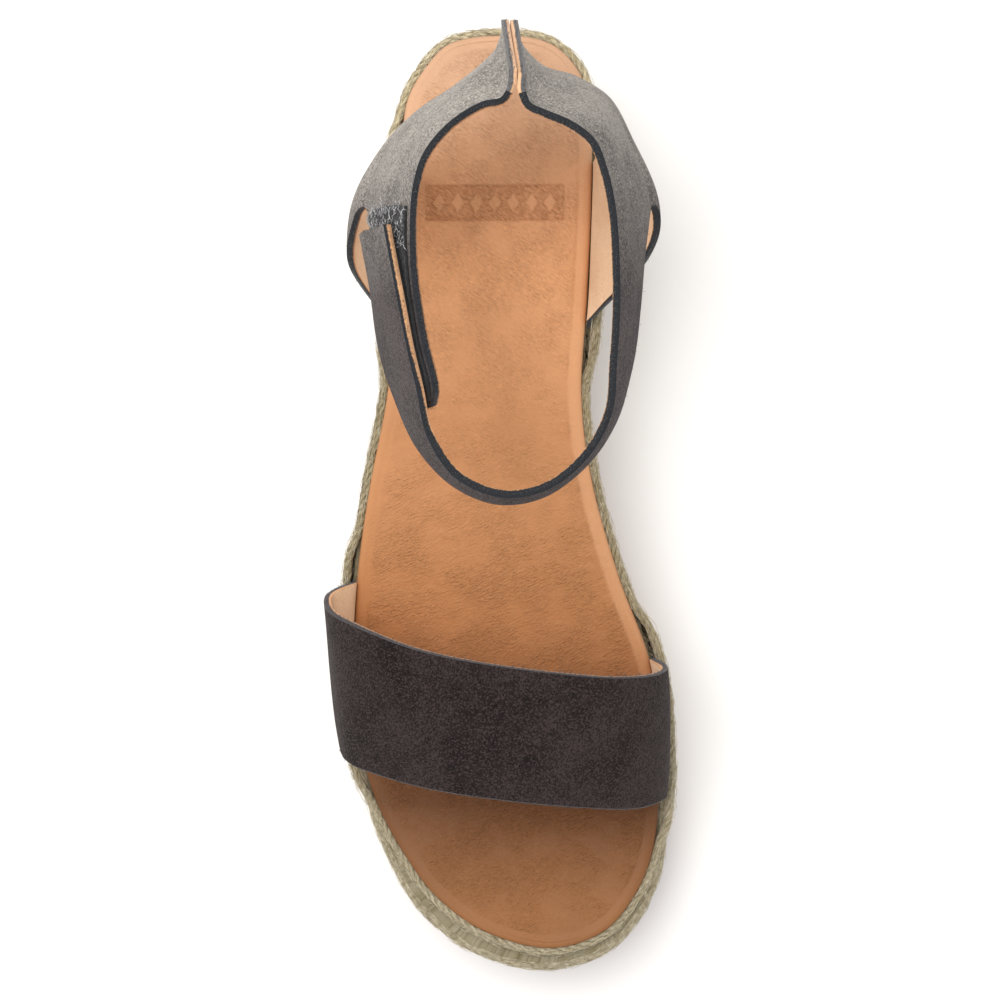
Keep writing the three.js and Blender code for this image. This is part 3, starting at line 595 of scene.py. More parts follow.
suedeBand = makeSuede("suedeBand", suedeLook["toeBand"]["dark"], suedeLook["toeBand"]["light"])
suedeQuarters = makeSuede(
    "suedeQuarters",
    suedeLook["quarterFront"]["dark"], suedeLook["quarterFront"]["light"],
    suedeLook["quarterHeel"]["dark"], suedeLook["quarterHeel"]["light"],
)
footbedLeather = makeFootbedLeather()
tanLining = makeLining()
dyedEdge = makeCutEdge("dyedEdge", (0.009, 0.0105, 0.013), (0.42, 0.20, 0.09), 0.16)
strapEdge = makeCutEdge("strapEdge", (0.009, 0.0105, 0.013), (0.62, 0.34, 0.17), 0.04, 0.54)
rawEdge = makeCutEdge("rawEdge", (0.042, 0.037, 0.038), (0.66, 0.38, 0.2), 0.3)
finEdge = makeCutEdge("finEdge", (0.075, 0.071, 0.071), (0.7, 0.42, 0.24), 0.4)
wallJute = makeJute("wallJute", 38)
ropeJute = makeJute("ropeJute", 12, 0.95, 1.15)
fibreJute = makeFibreJute()
treadRubber = makeRubber()
blackPile = makePile("blackPile", (0.004, 0.004, 0.005), (0.016, 0.016, 0.019), 0.1)
clearNylon = makeNylon()
napHair = makePile("napHair", (0.016, 0.016, 0.018), (0.10, 0.095, 0.095), 0.25)
print("finishes made")

# Footbed

footbedLook = {
    "rounding": 1.8 * mm,
    "tuck": 0.7 * mm,
    "tuckRise": 0.45 * mm,
    "dish": 0.7 * mm,  # how far the middle is trodden down
    "rim": 3.7 * mm,  # width of the rolled border
    "rimGroove": 0.2 * mm,
    "rows": 330,
    "columns": 150,
}
# Soft creases in the leather: middle, half length, angle in degrees, depth and half width.
footbedCreases = [
    (21, -12, 9, 12, 0.16, 0.5), (25, -16, 8, 10, 0.18, 0.5), (23, -20, 9, 14, 0.15, 0.5),
    (27, -6, 6, 8, 0.12, 0.45), (14, -14, 8, 16, 0.1, 0.5), (-22, 6, 8, -18, 0.14, 0.6),
    (-26, 0, 7, -24, 0.14, 0.5), (-18, 12, 9, -12, 0.1, 0.6), (-14, 100, 9, 24, 0.1, 0.6),
    (-8, 92, 8, 28, 0.08, 0.6), (10, 104, 7, 32, 0.08, 0.6), (4, 22, 12, 6, 0.08, 0.8),
    (-4, 34, 10, -8, 0.08, 0.8), (24, -98, 7, 20, 0.1, 0.6), (-20, -88, 8, -30, 0.1, 0.6),
]
stampLook = {
    "middle": (-2.1, 78.9),
    "half": (18.4, 4.7),
    "depth": 0.5 * mm,
    "lozenges": 7,
    "lozenge": (1.9, 2.9),
}


# How deep the blind stamp is at a point: 1 on its sunk ground, 0 outside and on its lozenges.
def stampShare(x, y):
    dx, dy = x / mm - stampLook["middle"][0], y / mm - stampLook["middle"][1]
    halfX, halfY = stampLook["half"]
    inset = min(halfX - abs(dx), halfY - abs(dy))
    if inset < -0.3:
        return 0.0
    pitch = 2 * (halfX - 1.2) / stampLook["lozenges"]
    local = (dx + halfX - 1.2) % pitch - pitch / 2
    raised = 1 - abs(local) / stampLook["lozenge"][0] - abs(dy) / stampLook["lozenge"][1]
    return clamp01(inset / 0.3 + 0.5) * (1 - clamp01(raised * 5 + 0.2))


def footbedHeight(x, y):
    edge = edgeTree.find(Vector((x, y, 0)))[2]
    z = footbedTop(y) - footbedLook["dish"] * ease(edge / (22 * mm))
    medialWaist = ease(x / (12 * mm)) * hump(y + 5 * mm, 55 * mm)
    z -= footbedLook["rimGroove"] * (0.2 + 0.8 * medialWaist) * hump(edge - footbedLook["rim"], 0.7 * mm)
    z += 0.22 * mm * noise.noise(Vector((x * 45, y * 30, 3)))
    inner = ease((edge - 3 * mm) / (3 * mm))
    z += 0.1 * mm * noise.noise(Vector((x * 140, y * 330, 7))) * inner
    for cx, cy, reach, angle, deep, wide in footbedCreases:
        dx, dy = x / mm - cx, y / mm - cy
        if abs(dx) > 3 * reach or abs(dy) > 3 * reach:
            continue
        c, s = math.cos(math.radians(angle)), math.sin(math.radians(angle))
        down, across = dx * c + dy * s, dy * c - dx * s
        across += 0.5 * math.sin(down * 0.55)
        z -= deep * mm * hump(down, reach) * (hump(across, wide) - 0.5 * hump(across - 1.6 * wide, wide))
    z -= stampLook["depth"] * stampShare(x, y)
    return z


def makeFootbed():
    look = footbedLook
    r, tuck = look["rounding"], look["tuck"]
    thick = shoe["footbedThickness"]
    section = [(0.5, -tuck, None), (0, -tuck, 0), (0, -tuck, thick - r - look["tuckRise"])]
    section += [(0, 0, thick - r)]
    for k in range(1, 5):
        a = math.radians(90 * k / 5)
        section.append((0, -r * (1 - math.cos(a)), thick - r * (1 - math.sin(a))))
    top = [(c, -r, "top") for c in evenly(0, 1, look["columns"])]
    section = section + top + [(1 - c, out, up) for c, out, up in reversed(section)]
    rows = evenly(0, 1, look["rows"])
    stampRows = [w for w in evenly(0, 1, 1400) if abs(outlineAt(toeArc * w)[0].y / mm - 77.5) < 8]
    rows = sorted(set([w for w in rows if not stampRows[0] < w < stampRows[-1]] + stampRows))
    cache = {}

    def edges(w):
        if w not in cache:
            cache[w] = (outlineAt(toeArc * w), outlineAt(1 - (1 - toeArc) * w))
        return cache[w]

    def place(w, k):
        share, out, up = section[int(k)]
        (left, leftOut), (right, rightOut) = edges(w)
        a, b = left + leftOut * out, right + rightOut * out
        p = a.lerp(b, share)
        if up == "top":
            p.z = footbedHeight(p.x, p.y)
            if share in (0, 1):
                p.z = footbedTop(p.y)
        else:
            p.z = footbedBottom(p.y) + (up or 0)
        return p

    bm = shapedGrid(rows, list(range(len(section))), place)
    closeMesh(bm)
    edge = bm.verts.layers.float.new("edge")
    stamp = bm.verts.layers.float.new("stamp")
    for v in bm.verts:
        near = edgeTree.find(Vector((v.co.x, v.co.y, 0)))[2]
        v[edge] = 1 - ease((near - look["rim"] + 0.6 * mm) / (1.2 * mm))
        v[stamp] = stampShare(v.co.x, v.co.y) if v.co.z > footbedBottom(v.co.y) + 2 * mm else 0
    return makePiece(bm, "footbedLeatherCover", [footbedLeather], ["footbed"])


makeFootbed()

# Jute walls

wallLook = {
    "overhang": (2.4 * mm, 1.5 * mm),  # little-toe side, big-toe side
    "toeOverhang": (5.4 * mm, 3.4 * mm),
    "draft": 0.03,
    "toeFlare": 1 * mm,
    "rowDepth": 1.15 * mm,
    "strand": 4.6 * mm,  # pitch of the strands along a row
    "strandDepth": 0.36 * mm,
    "slant": 0.95,
    "topRound": 2.4 * mm,
    "around": 1080,
    "perRow": 8,
    "fibres": 4800,
    "fibreThickness": 0.06 * mm,
}


def overhang(y, medial):
    look = wallLook
    return mix(*look["overhang"], medial) + mix(*look["toeOverhang"], medial) * ease(toeShare(y))


def wallOut(y, medial, below):
    look = wallLook
    lean = look["toeFlare"] * ease(toeShare(y)) * clamp01(below / platformHeight) - look["draft"] * below
    return overhang(y, medial) + lean


# Relief of one wound row: how far the surface lies inside the wall, and how deep it is in a crevice, which
# sets the painted shade there.
def rowRelief(arc, height, top):
    look = wallLook
    row = shoe["ropeRow"]
    k = min(int(height / row), int(top / row + 0.5) - 1 if top else 99)
    q = clamp01(height / row - k)
    x = 2 * q - 1
    lastRow = top and abs(top - (k + 1) * row) < row / 2
    deep = look["topRound"] if lastRow and x > 0 else look["rowDepth"]
    inset = deep * (1 - math.sqrt(max(0.0, 1 - x * x * 0.96)))
    way = 1 if k % 2 else -1
    wander = 0.35 * noise.noise(Vector((arc * 60, k * 7.3, 1)))
    phase = arc / look["strand"] + way * look["slant"] * (q - 0.5) + 0.37 * k + wander
    strand = abs(math.sin(math.pi * phase)) ** 0.7
    inset += look["strandDepth"] * (1 - strand)
    inset -= 0.25 * mm * noise.noise(Vector((arc * 180, height * 400, k)))
    creviceShade = max((abs(x) - 0.72) / 0.28, (0.45 - strand) / 0.45, 0)
    return inset, clamp01(creviceShade)


def makeWall(name, node, bottom, ceiling, rows, roundTop, front=None):
    look = wallLook
    full = rows * shoe["ropeRow"]
    heights = evenly(0, full, rows * look["perRow"])
    section = [("cap", 0)] + [("wall", h) for h in heights] + [("cap", full)]
    ring = []
    for share in evenly(0, 1, look["around"]):
        point, normal = outlineAt(share)
        ring.append([share, point, normal])
    if front is not None:  # the wedge ends in a straight front edge
        inFront = [i for i, (s, p, n) in enumerate(ring) if p.y < front]
        first, last = ring[inFront[0] - 1], ring[inFront[-1] + 1]
        for i in inFront:
            t = (i - inFront[0] + 1) / (len(inFront) + 1)
            ring[i][1] = first[1].lerp(last[1], t)
            ring[i][2] = first[2].lerp(last[2], t)
    crevices = {}

    def place(share, k):
        kind, h = section[int(k)]
        _, point, normal = ring[round(share * look["around"]) % look["around"]]
        medial = (1 + normal.x) / 2
        below = footbedBottom(point.y) - gap - bottom(point.y) - h
        limit = ceiling(point.y) - bottom(point.y)
        inset, creviceShade = rowRelief(share * perimeter, h, full if roundTop else None)
        if kind == "cap":
            inset = 6.5 * mm
            creviceShade = 1
        out = wallOut(point.y, medial, max(0.0, below)) - inset
        p = point + normal * out
        p.z = bottom(p.y) + min(h, limit)
        crevices[(round(p.x, 6), round(p.y, 6), round(p.z, 6))] = creviceShade
        return p

    bm = shapedGrid(
        evenly(0, 1, look["around"]), list(range(len(section))), place,
        uvSize=(perimeter, shoe["ropeRow"] / look["perRow"]),
    )
    deep = bm.verts.layers.float.new("creviceShade")
    for v in bm.verts:
        v[deep] = crevices.get((round(v.co.x, 6), round(v.co.y, 6), round(v.co.z, 6)), 0)
    bmesh.ops.remove_doubles(bm, verts=bm.verts, dist=0.03 * mm)
    fillEnds(bm)
    return makePiece(bm, name, [wallJute], [node])


def wedgeTop(y):
    return footbedBottom(y) - gap


frontOfWedge = next(p.x for p in liftPath if p.x < 0 and p.y - gap < 1 * mm)
makeWall(
    "platformJute", "jute_platform", lambda y: spring(y) + platformBottom, platformTop,
    shoe["platformRows"], True,
)
makeWall(
    "wedgeJute", "jute_wedge", lambda y: platformTop(y) + gap, wedgeTop,
    math.ceil(shoe["heelLift"] / shoe["ropeRow"]), False, frontOfWedge,
)

# Outsole

outsoleLook = {"lip": 0.5 * mm, "edgeRound": 0.6 * mm, "around": 420}


def makeOutsole():
    thick, r = shoe["outsoleThickness"], outsoleLook["edgeRound"]
    lower = [("in", 0), (-r, 0), (-r * 0.3, r * 0.3), (0, r)]
    section = lower + [(kind, thick - h) for kind, h in reversed(lower)]
    ring = [outlineAt(i / outsoleLook["around"]) for i in range(outsoleLook["around"])]

    def place(i, k):
        kind, h = section[int(k)]
        point, normal = ring[int(i) % outsoleLook["around"]]
        below = footbedBottom(point.y) - gap - spring(point.y)
        out = wallOut(point.y, (1 + normal.x) / 2, below) + outsoleLook["lip"]
        p = point + normal * (out + (kind if kind != "in" else -9 * mm))
        p.z = spring(p.y) + h
        return p

    bm = shapedGrid(list(range(outsoleLook["around"] + 1)), list(range(len(section))), place)
    bmesh.ops.remove_doubles(bm, verts=bm.verts, dist=0.02 * mm)
    fillEnds(bm)
    return makePiece(bm, "outsoleRubber", [treadRubber], ["outsole"])


makeOutsole()

# Edge rope

ropeLook = {
    "diameter": 2.3 * mm,
    "tuck": 0.7 * mm,
    "strands": 3,
    "pitch": 8.5 * mm,
    "stepsPerTurn": 14,
    "sides": 8,
    "fibres": 4200,
    "fibreThickness": 0.065 * mm,
}
footWall = 1.1 * mm
strapFeet = [  # side, back and front of each strap's foot, as shares of the length
    (-1, 0.5911, 0.781), (1, 0.6761, 0.8255), (-1, 0.134, 0.311), (1, 0.134, 0.311),
]


def footPush(point):
    along = yToAlong(point.y)
    most = 0.0
    for side, back, front in strapFeet:
        past = max(back - along, along - front) - 0.022
        if point.x * side > 0:
            most = max(most, ease(clamp01(1 - past / 0.045)))
    return (ropeLook["tuck"] + footWall + gap) * most


def ropeCentre(share):
    radius = ropeLook["diameter"] / 2
    point, normal = outlineAt(share)
    p = point + normal * (gap + radius - ropeLook["tuck"] + footPush(point))
    p.z = wedgeTop(p.y) + gap + radius
    return p, normal


def makeRope():
    look = ropeLook
    turns = round(perimeter / look["pitch"])
    strandRadius = look["diameter"] / 2 / 2.155
    helix = look["diameter"] / 2 - strandRadius
    steps = turns * look["stepsPerTurn"]
    bm = bmesh.new()
    centres = [ropeCentre(i / steps) for i in range(steps)]
    for strand in range(look["strands"]):

        def place(i, k, strand=strand):
            i = int(i) % steps
            centre, normal = centres[i]
            along = (centres[(i + 1) % steps][0] - centres[i - 1][0]).normalized()
            up = along.cross(normal).normalized()
            phase = 2 * math.pi * (i / look["stepsPerTurn"] + strand / look["strands"])
            phase += 0.5 * noise.noise(Vector((i * 0.013, 0, 0)))
            radial = normal * math.cos(phase) + up * math.sin(phase)
            sideways = up * math.cos(phase) - normal * math.sin(phase)
            run = (along + sideways * (2 * math.pi * helix / look["pitch"])).normalized()
            other = run.cross(radial)
            angle = 2 * math.pi * (k % look["sides"]) / look["sides"]
            radius = strandRadius * (1.08 + 0.16 * noise.noise(Vector((i * 0.09, strand * 5, 2))))
            return centre + radial * (helix + radius * math.cos(angle)) + other * (radius * math.sin(angle))

        shapedGrid(
            list(range(steps + 1)), list(range(look["sides"] + 1)), place, bm,
            uvSize=(look["pitch"] / look["stepsPerTurn"], 2 * math.pi * strandRadius / look["sides"]),
        )
    closeMesh(bm, 0.002 * mm)
    bm.verts.layers.float.new("creviceShade")
    return makePiece(bm, "edgeRopeStrands", [ropeJute], ["edge_rope"])


# Loose fibres: thin bent threads, pointed at both ends, that start on a surface. One grid is cut
# into strips of three faces' width, and each strip is rolled into a thread.
def addFibres(bm, rng, count, start, thickness):
    thin = (0, 1, 0.85, 0.6, 0)
    made = bmesh.ops.create_grid(bm, x_segments=4 * count - 1, y_segments=4, size=1)
    spots = {}
    for v in made["verts"]:
        k, j = round((v.co.x + 1) / 2 * (4 * count - 1)), round((v.co.y + 1) * 2)
        spots[v] = (k // 4, k % 4, j)
    between = [f for f in bm.faces if len({spots[v][0] for v in f.verts}) > 1]
    bmesh.ops.delete(bm, geom=between, context="FACES")
    threads = []
    for _ in range(count):
        a, b, c = start(rng)
        side = (c - a).cross(Vector((0.3, 0.5, 0.8))).normalized() * thickness
        threads.append((a, b, c, side, (c - a).cross(side).normalized() * thickness))
    for v, (index, corner, j) in spots.items():
        a, b, c, side, other = threads[index]
        w = 2 * math.pi * (corner % 3) / 3
        bent = a.lerp(b, j / 4).lerp(b.lerp(c, j / 4), j / 4)
        v.co = bent + (side * math.cos(w) + other * math.sin(w)) * thin[j]
    bmesh.ops.remove_doubles(bm, verts=bm.verts, dist=0.0005 * mm)
    bmesh.ops.recalc_face_normals(bm, faces=bm.faces)


# Short hairs of nap along a piece's cut edges: places on the outer half of its rim, then the hairs.
def rimSpots(bm, kinds):
    depth = bm.verts.layers.float["depth"]
    faces = [f for f in bm.faces if f.material_index in kinds and sum(v[depth] for v in f.verts) > 1.2]
    return [(f.calc_center_median(), f.normal.copy(), f.calc_area()) for f in faces]


def makeEdgeNap(name, spots, count, seed, finish):
    rng = random.Random(seed)
    weights = [area for _, _, area in spots]

    def start(rng):
        centre, normal, _ = rng.choices(spots, weights)[0]
        drift = Vector((rng.uniform(-1, 1), rng.uniform(-1, 1), rng.uniform(-1, 1)))
        length = rng.uniform(0.2, 0.75) * mm
        a = centre + drift * 0.25 * mm - normal * 0.08 * mm
        b = a + (normal + drift * 0.4) * length * 0.6
        return a, b, b + (normal * 0.25 + drift) * length * 0.6

    bm = bmesh.new()
    addFibres(bm, rng, count, start, 0.045 * mm)
    return makePiece(bm, name, [finish])


def makeRopeFibres():
    look = ropeLook
    rng = random.Random(11)

    def start(rng):
        share = rng.random()
        centre, normal = ropeCentre(share)
        ahead, _ = ropeCentre(share + rng.choice((-1, 1)) * rng.uniform(2, 7) * mm / perimeter)
        radius = look["diameter"] / 2
        angle = rng.uniform(-0.9, 2.4)
        radial = normal * math.cos(angle) + Vector((0, 0, math.sin(angle)))
        a = centre + radial * radius * 0.85
        stray = rng.random() ** 3
        lean = rng.uniform(-0.7, 0.7)
        radialEnd = normal * math.cos(angle + lean) + Vector((0, 0, math.sin(angle + lean)))
        c = ahead + radialEnd * radius * (1.05 + 0.75 * stray)
        b = a.lerp(c, 0.5) + radial * radius * (0.25 + 0.6 * stray)
        return a, b, c

    bm = bmesh.new()
    addFibres(bm, rng, look["fibres"], start, look["fibreThickness"])
    return makePiece(bm, "ropeFibres", [fibreJute])


# Fibres that have worked loose from the top rows of the wall, mostly round the toe.
def makeWallFibres():
    rng = random.Random(21)
    height = platformHeight

    def start(rng):
        share = toeArc + rng.gauss(0, 0.1) if rng.random() < 0.75 else rng.random()
        h = height * (1 - 0.3 * rng.random() ** 1.5)
        ends = []
        for at in (share, share + rng.choice((-1, 1)) * rng.uniform(2.5, 8) * mm / perimeter):
            point, normal = outlineAt(at)
            inset, _ = rowRelief((at % 1) * perimeter, h, height)
            below = platformTop(point.y) + gap - spring(point.y) - platformBottom - h
            out = wallOut(point.y, (1 + normal.x) / 2, max(0, below))
            p = point + normal * (out - inset)
            p.z = spring(p.y) + platformBottom + h
            ends.append((p, normal))
        (a, normal), (c, _) = ends
        stray = rng.random() ** 3
        up = Vector((0, 0, 1))
        away = normal * rng.uniform(0.3, 1) + up * rng.uniform(0, 1)
        b = a.lerp(c, 0.5) + away * (0.35 + 0.9 * stray) * mm
        return a, b, c + away * 0.9 * stray * mm

    bm = bmesh.new()
    addFibres(bm, rng, wallLook["fibres"], start, wallLook["fibreThickness"])
    return makePiece(bm, "wallFibres", [fibreJute])


makeRope()
makeRopeFibres()
makeWallFibres()

# Toe band

bandLook = {
    "rise": 37 * mm,
    "bow": 0.035,
    "wall": 2 * mm,
    "footShare": 0.12,
    "feetLateral": (0.5911, 0.781),
    "feetMedial": (0.6761, 0.8255),
    "stand": 4.6 * mm,
}
bandBack = [  # across as a share of the width, along of the length, rise of the band's rise
    (-0.566, 0.6043, 0.46), (-0.548, 0.6184, 0.66), (-0.455, 0.6346, 0.84), (-0.25, 0.6589, 0.985),
    (0.06, 0.6782, 1), (0.33, 0.6883, 0.88), (0.467, 0.6883, 0.66), (0.515, 0.6832, 0.42),
]
bandFront = [
    (-0.526, 0.7749, 0.3), (-0.5, 0.786, 0.42), (-0.4, 0.7972, 0.57), (-0.22, 0.8113, 0.71),
    (0.02, 0.8225, 0.75), (0.28, 0.8316, 0.68), (0.43, 0.8336, 0.47), (0.505, 0.8285, 0.26),
]
footOut = gap + footWall / 2
sideEdges = {}
for side in (-1, 1):
    ring = [outlineAt(i / 900) for i in range(900)]
    spots = [p + n * footOut for p, n in ring]
    sideEdges[side] = sorted((p.y, p.x) for p in spots if p.x * side > 0)


# The line just outside the footbed's edge where the straps' feet stand.
def beside(side, y):
    table = sideEdges[side]
    i = min(max(bisect_left(table, (y, 0)), 1), len(table) - 1)
    (y0, x0), (y1, x1) = table[i - 1], table[i]
    return Vector((mix(x0, x1, clamp01((y - y0) / max(1e-9, y1 - y0))), y, 0))


def bandEdge(table, which):
    def foot(side, along):
        p = beside(side, alongToY(along))
        low = Vector((p.x, p.y, footbedBottom(p.y)))
        return [low, low + Vector((0, 0, bandLook["stand"]))]

    arch = [
        Vector((across * shoe["width"], alongToY(along), forefootTop + rise * bandLook["rise"]))
        for across, along, rise in table
    ]
    lateral = foot(-1, bandLook["feetLateral"][which])
    medial = foot(1, bandLook["feetMedial"][which])[::-1]
    return smoothPath(lateral + arch + medial)


def makeBand():
    look = bandLook
    back, front = bandEdge(bandBack, 0), bandEdge(bandFront, 1)
    halfOf = {}

    def place(s, t):
        p = pathAt(back, s).lerp(pathAt(front, s), t)
        p.z += look["bow"] * look["rise"] * 4 * t * (1 - t) * math.sin(math.pi * s)
        end = round(s)
        foot = pathAt(back, end).lerp(pathAt(front, end), t)
        bulge = beside(1 if end else -1, foot.y).x - foot.x
        p.x += bulge * ease(clamp01(2 - abs(end - s) / look["footShare"]))
        free = ease((0.5 - abs(s - 0.5)) / look["footShare"])
        # the leather's own unevenness: soft waves, and cut edges that aren't quite straight
        p.z += free * 0.45 * mm * noise.noise(Vector((p.x * 55, p.y * 40, 4)))
        wave = 0.35 * mm * noise.noise(Vector((s * 9, t * 2, 9))) * abs(2 * t - 1) * free
        p.y += wave
        halfOf[(round(p.x, 6), round(p.y, 6), round(p.z, 6))] = mix(footWall, look["wall"], free) / 2
        return p

    bm = shapedGrid(evenly(0, 1, 190), evenly(0, 1, 52), place)
    bm.normal_update()
    facing = sum(f.normal.z for f in bm.faces)
    thicken(bm, lambda v: halfOf[(round(v.co.x, 6), round(v.co.y, 6), round(v.co.z, 6))], flip=facing < 0)
    spots = rimSpots(bm, (2,))
    makePiece(bm, "toeBandSuede", [suedeBand, tanLining, rawEdge], ["toe_band"])
    makeEdgeNap("toeBandNap", spots, 2400, 41, napHair)


# Heel quarters, ankle strap and tab

quarterLook = {
    "rise": 75 * mm,
    "wall": 2 * mm,
    "seamTop": 0.098,
    "seamLow": 0.046,
    "fin": 5.6 * mm,
    "bow": 0.04,
    "bowFrom": 0.125,
    "legBulge": 0.34,
    "legLap": 0.14,
    "legAlong": (0.1, 0.345),
    "legFlare": {-1: (0.5 * mm, 7.8 * mm), 1: (1 * mm, 10.4 * mm)},
    "legSpan": {-1: (0.36, 0.66), 1: (0.22, 0.43)},
    "stand": 4.6 * mm,
    "standShare": 0.12,
    "peel": 1.2 * mm,
}
# Upper edge, then lower edge: across, along and rise, from the back seam forwards.
lateralTable = [
    (0.058, 0.104, 1, 0.015, 0.03, 0.44), (-0.003, 0.109, 1, -0.042, 0.05, 0.44),
    (-0.091, 0.127, 0.995, -0.117, 0.07, 0.44), (-0.163, 0.156, 0.99, -0.228, 0.097, 0.445),
    (-0.193, 0.188, 0.985, -0.318, 0.133, 0.475), (-0.204, 0.232, 0.97, -0.375, 0.186, 0.52),
    (-0.2, 0.281, 0.945, -0.308, 0.25, 0.58), (-0.179, 0.336, 0.905, -0.287, 0.318, 0.59),
    (-0.146, 0.386, 0.865, -0.238, 0.387, 0.575), (-0.158, 0.404, 0.8, -0.222, 0.404, 0.62),
]
medialTable = [
    (0.13, 0.109, 1, 0.083, 0.0303, 0.44), (0.176, 0.117, 1, 0.148, 0.051, 0.44),
    (0.253, 0.1285, 0.995, 0.247, 0.0617, 0.44), (0.313, 0.1447, 0.99, 0.338, 0.083, 0.445),
    (0.346, 0.172, 0.985, 0.401, 0.125, 0.47), (0.371, 0.2135, 0.97, 0.463, 0.185, 0.52),
    (0.381, 0.258, 0.945, 0.45, 0.2455, 0.575), (0.382, 0.3075, 0.92, 0.437, 0.303, 0.587),
    (0.374, 0.36, 0.893, 0.415, 0.36, 0.587), (0.359, 0.409, 0.867, 0.363, 0.418, 0.573),
    (0.289, 0.453, 0.84, 0.264, 0.464, 0.553), (0.176, 0.484, 0.827, 0.134, 0.493, 0.547),
    (0.05, 0.492, 0.827, 0.007, 0.498, 0.547), (-0.086, 0.4735, 0.83, -0.116, 0.48, 0.553),
    (-0.165, 0.4345, 0.842, -0.218, 0.444, 0.567),
]
# Where the strap's upper and lower edge lie on the tab, how far each has peeled and runs in.
overTab = [
    (0.9, 0.9, 0.1, 0.3, 0, 0), (0.825, 0.84, 0, 0.7, 0, 0),
    (0.735, 0.765, 0.1, 1, 0.02, 0), (0.625, 0.685, 1, 0.6, 0.17, 0.06),
]
halfWall = quarterLook["wall"] / 2
patchThickness = 0.6 * mm


def collarPoint(across, along, rise):
    return Vector((across * shoe["width"], alongToY(along), heelTop + rise * quarterLook["rise"]))


def quarterEdges(table, side, extra=((), ())):
    look = quarterLook
    first = table[0]
    layer = side * (halfWall + gap / 2)
    root = look["wall"]

    def fin(across, along, rise, back):
        return collarPoint(across, along, rise) + Vector((layer, back, 0))

    top = [
        fin(look["seamTop"], first[1], first[2] - 0.02, root + look["fin"]),
        fin(look["seamTop"], first[1], first[2] - 0.005, root + look["fin"] * 0.35),
    ] + [collarPoint(*row[:3]) for row in table] + list(extra[0])
    low = [
        fin(look["seamLow"], first[4], first[5], root + look["fin"]),
        fin(look["seamLow"], first[4], first[5], root + look["fin"] * 0.35),
    ] + [collarPoint(*row[3:]) for row in table] + list(extra[1])
    return smoothPath(top), smoothPath(low)


def quarterSurface(edges, side):
    top, low = edges

    def at(s, t):
        below, above = pathAt(low, s), pathAt(top, s)
        tangent = (pathAt(low, s + 0.004) - pathAt(low, s - 0.004)).normalized()
        out = Vector((-tangent.y, tangent.x, 0)).normalized() * -side
        bow = quarterLook["bow"] * (above - below).length * 4 * t * (1 - t)
        return below.lerp(above, t) - out * bow * ease(s / quarterLook["bowFrom"])

    return at


lateralEdges = quarterEdges(lateralTable, -1)
lateralAt = quarterSurface(lateralEdges, -1)


def offTab(onTab, edge, peel):
    forward = (lateralAt(onTab + 0.01, 0.5) - lateralAt(onTab - 0.01, 0.5)).normalized()
    out = forward.cross(lateralAt(onTab, 1) - lateralAt(onTab, 0)).normalized()
    off = quarterLook["wall"] + 2 * patchThickness + 3 * gap + peel * quarterLook["peel"]
    return lateralAt(onTab, edge) + out * (off if out.x < 0 else -off)


strapTop, strapLow = [], []
for topOnTab, lowOnTab, topPeel, lowPeel, topIn, lowIn in overTab:
    low, top = offTab(lowOnTab, 0, lowPeel), offTab(topOnTab, 1, topPeel)
    strapLow.append(low.lerp(top, lowIn))
    strapTop.append(top.lerp(low, topIn))
medialEdges = quarterEdges(medialTable, 1, (strapTop, strapLow))
medialAt = quarterSurface(medialEdges, 1)


def legPoint(quarterAt, side, at, t):
    look = quarterLook
    s = (at - look["legSpan"][side][0]) / (look["legSpan"][side][1] - look["legSpan"][side][0])
    low, lap = quarterAt(at, 0), quarterAt(at, look["legLap"])
    foot = beside(side, alongToY(mix(*look["legAlong"], s)))
    foot.z = footbedBottom(foot.y)
    stand = foot + Vector((0, 0, look["stand"]))
    drop = low.z - stand.z
    out = (low - lap).normalized()
    flare = Vector((mix(*look["legFlare"][side], s) * side, 0, 0))
    knee = low + out * drop * look["legBulge"] + flare
    ankle = stand + Vector((0, 0, drop * 0.3)) + flare
    if t > 1 - look["standShare"]:
        return stand.lerp(foot, (t - 1 + look["standShare"]) / look["standShare"])
    u = t / (1 - look["standShare"])
    v = 1 - u
    return low * v**3 + knee * (3 * v * v * u) + ankle * (3 * v * u * u) + stand * u**3


# The leg's cut edges in the side view: share of the length, by share of the collar's rise.
def sideCurve(points):
    (a0, r0), (a1, r1), (a2, r2) = points
    spots = []
    for u in evenly(0, 1, 24):
        v = 1 - u
        spots.append((r0 * v * v + 2 * r1 * u * v + r2 * u * u, a0 * v * v + 2 * a1 * u * v + a2 * u * u))
    return spots


backCut = [(-1, 0.134)] + sideCurve([(0.134, 0), (0.115, 0.46), (0.04, 0.46)])
frontCut = [(-1, 0.311)] + sideCurve([(0.311, -0.053), (0.24, 0.33), (0.201, 0.455)])
frontCut += sideCurve([(0.201, 0.456), (0.185, 0.525), (0.211, 0.545)]) + [(0.615, 0.261)]


def cutAlong(curve, rise):
    i = min(max(bisect_left(curve, (rise, 0)), 1), len(curve) - 1)
    (r0, a0), (r1, a1) = curve[i - 1], curve[i]
    return mix(a0, a1, clamp01((rise - r0) / max(1e-9, r1 - r0)))


def cutAt(quarterAt, side, curve, t, low, high):
    def past(at):
        p = legPoint(quarterAt, side, at, t)
        return yToAlong(p.y) - cutAlong(curve, (p.z - heelTop) / quarterLook["rise"])

    for _ in range(26):
        middle = (low + high) / 2
        if past(middle) < 0:
            low = middle
        else:
            high = middle
    return (low + high) / 2


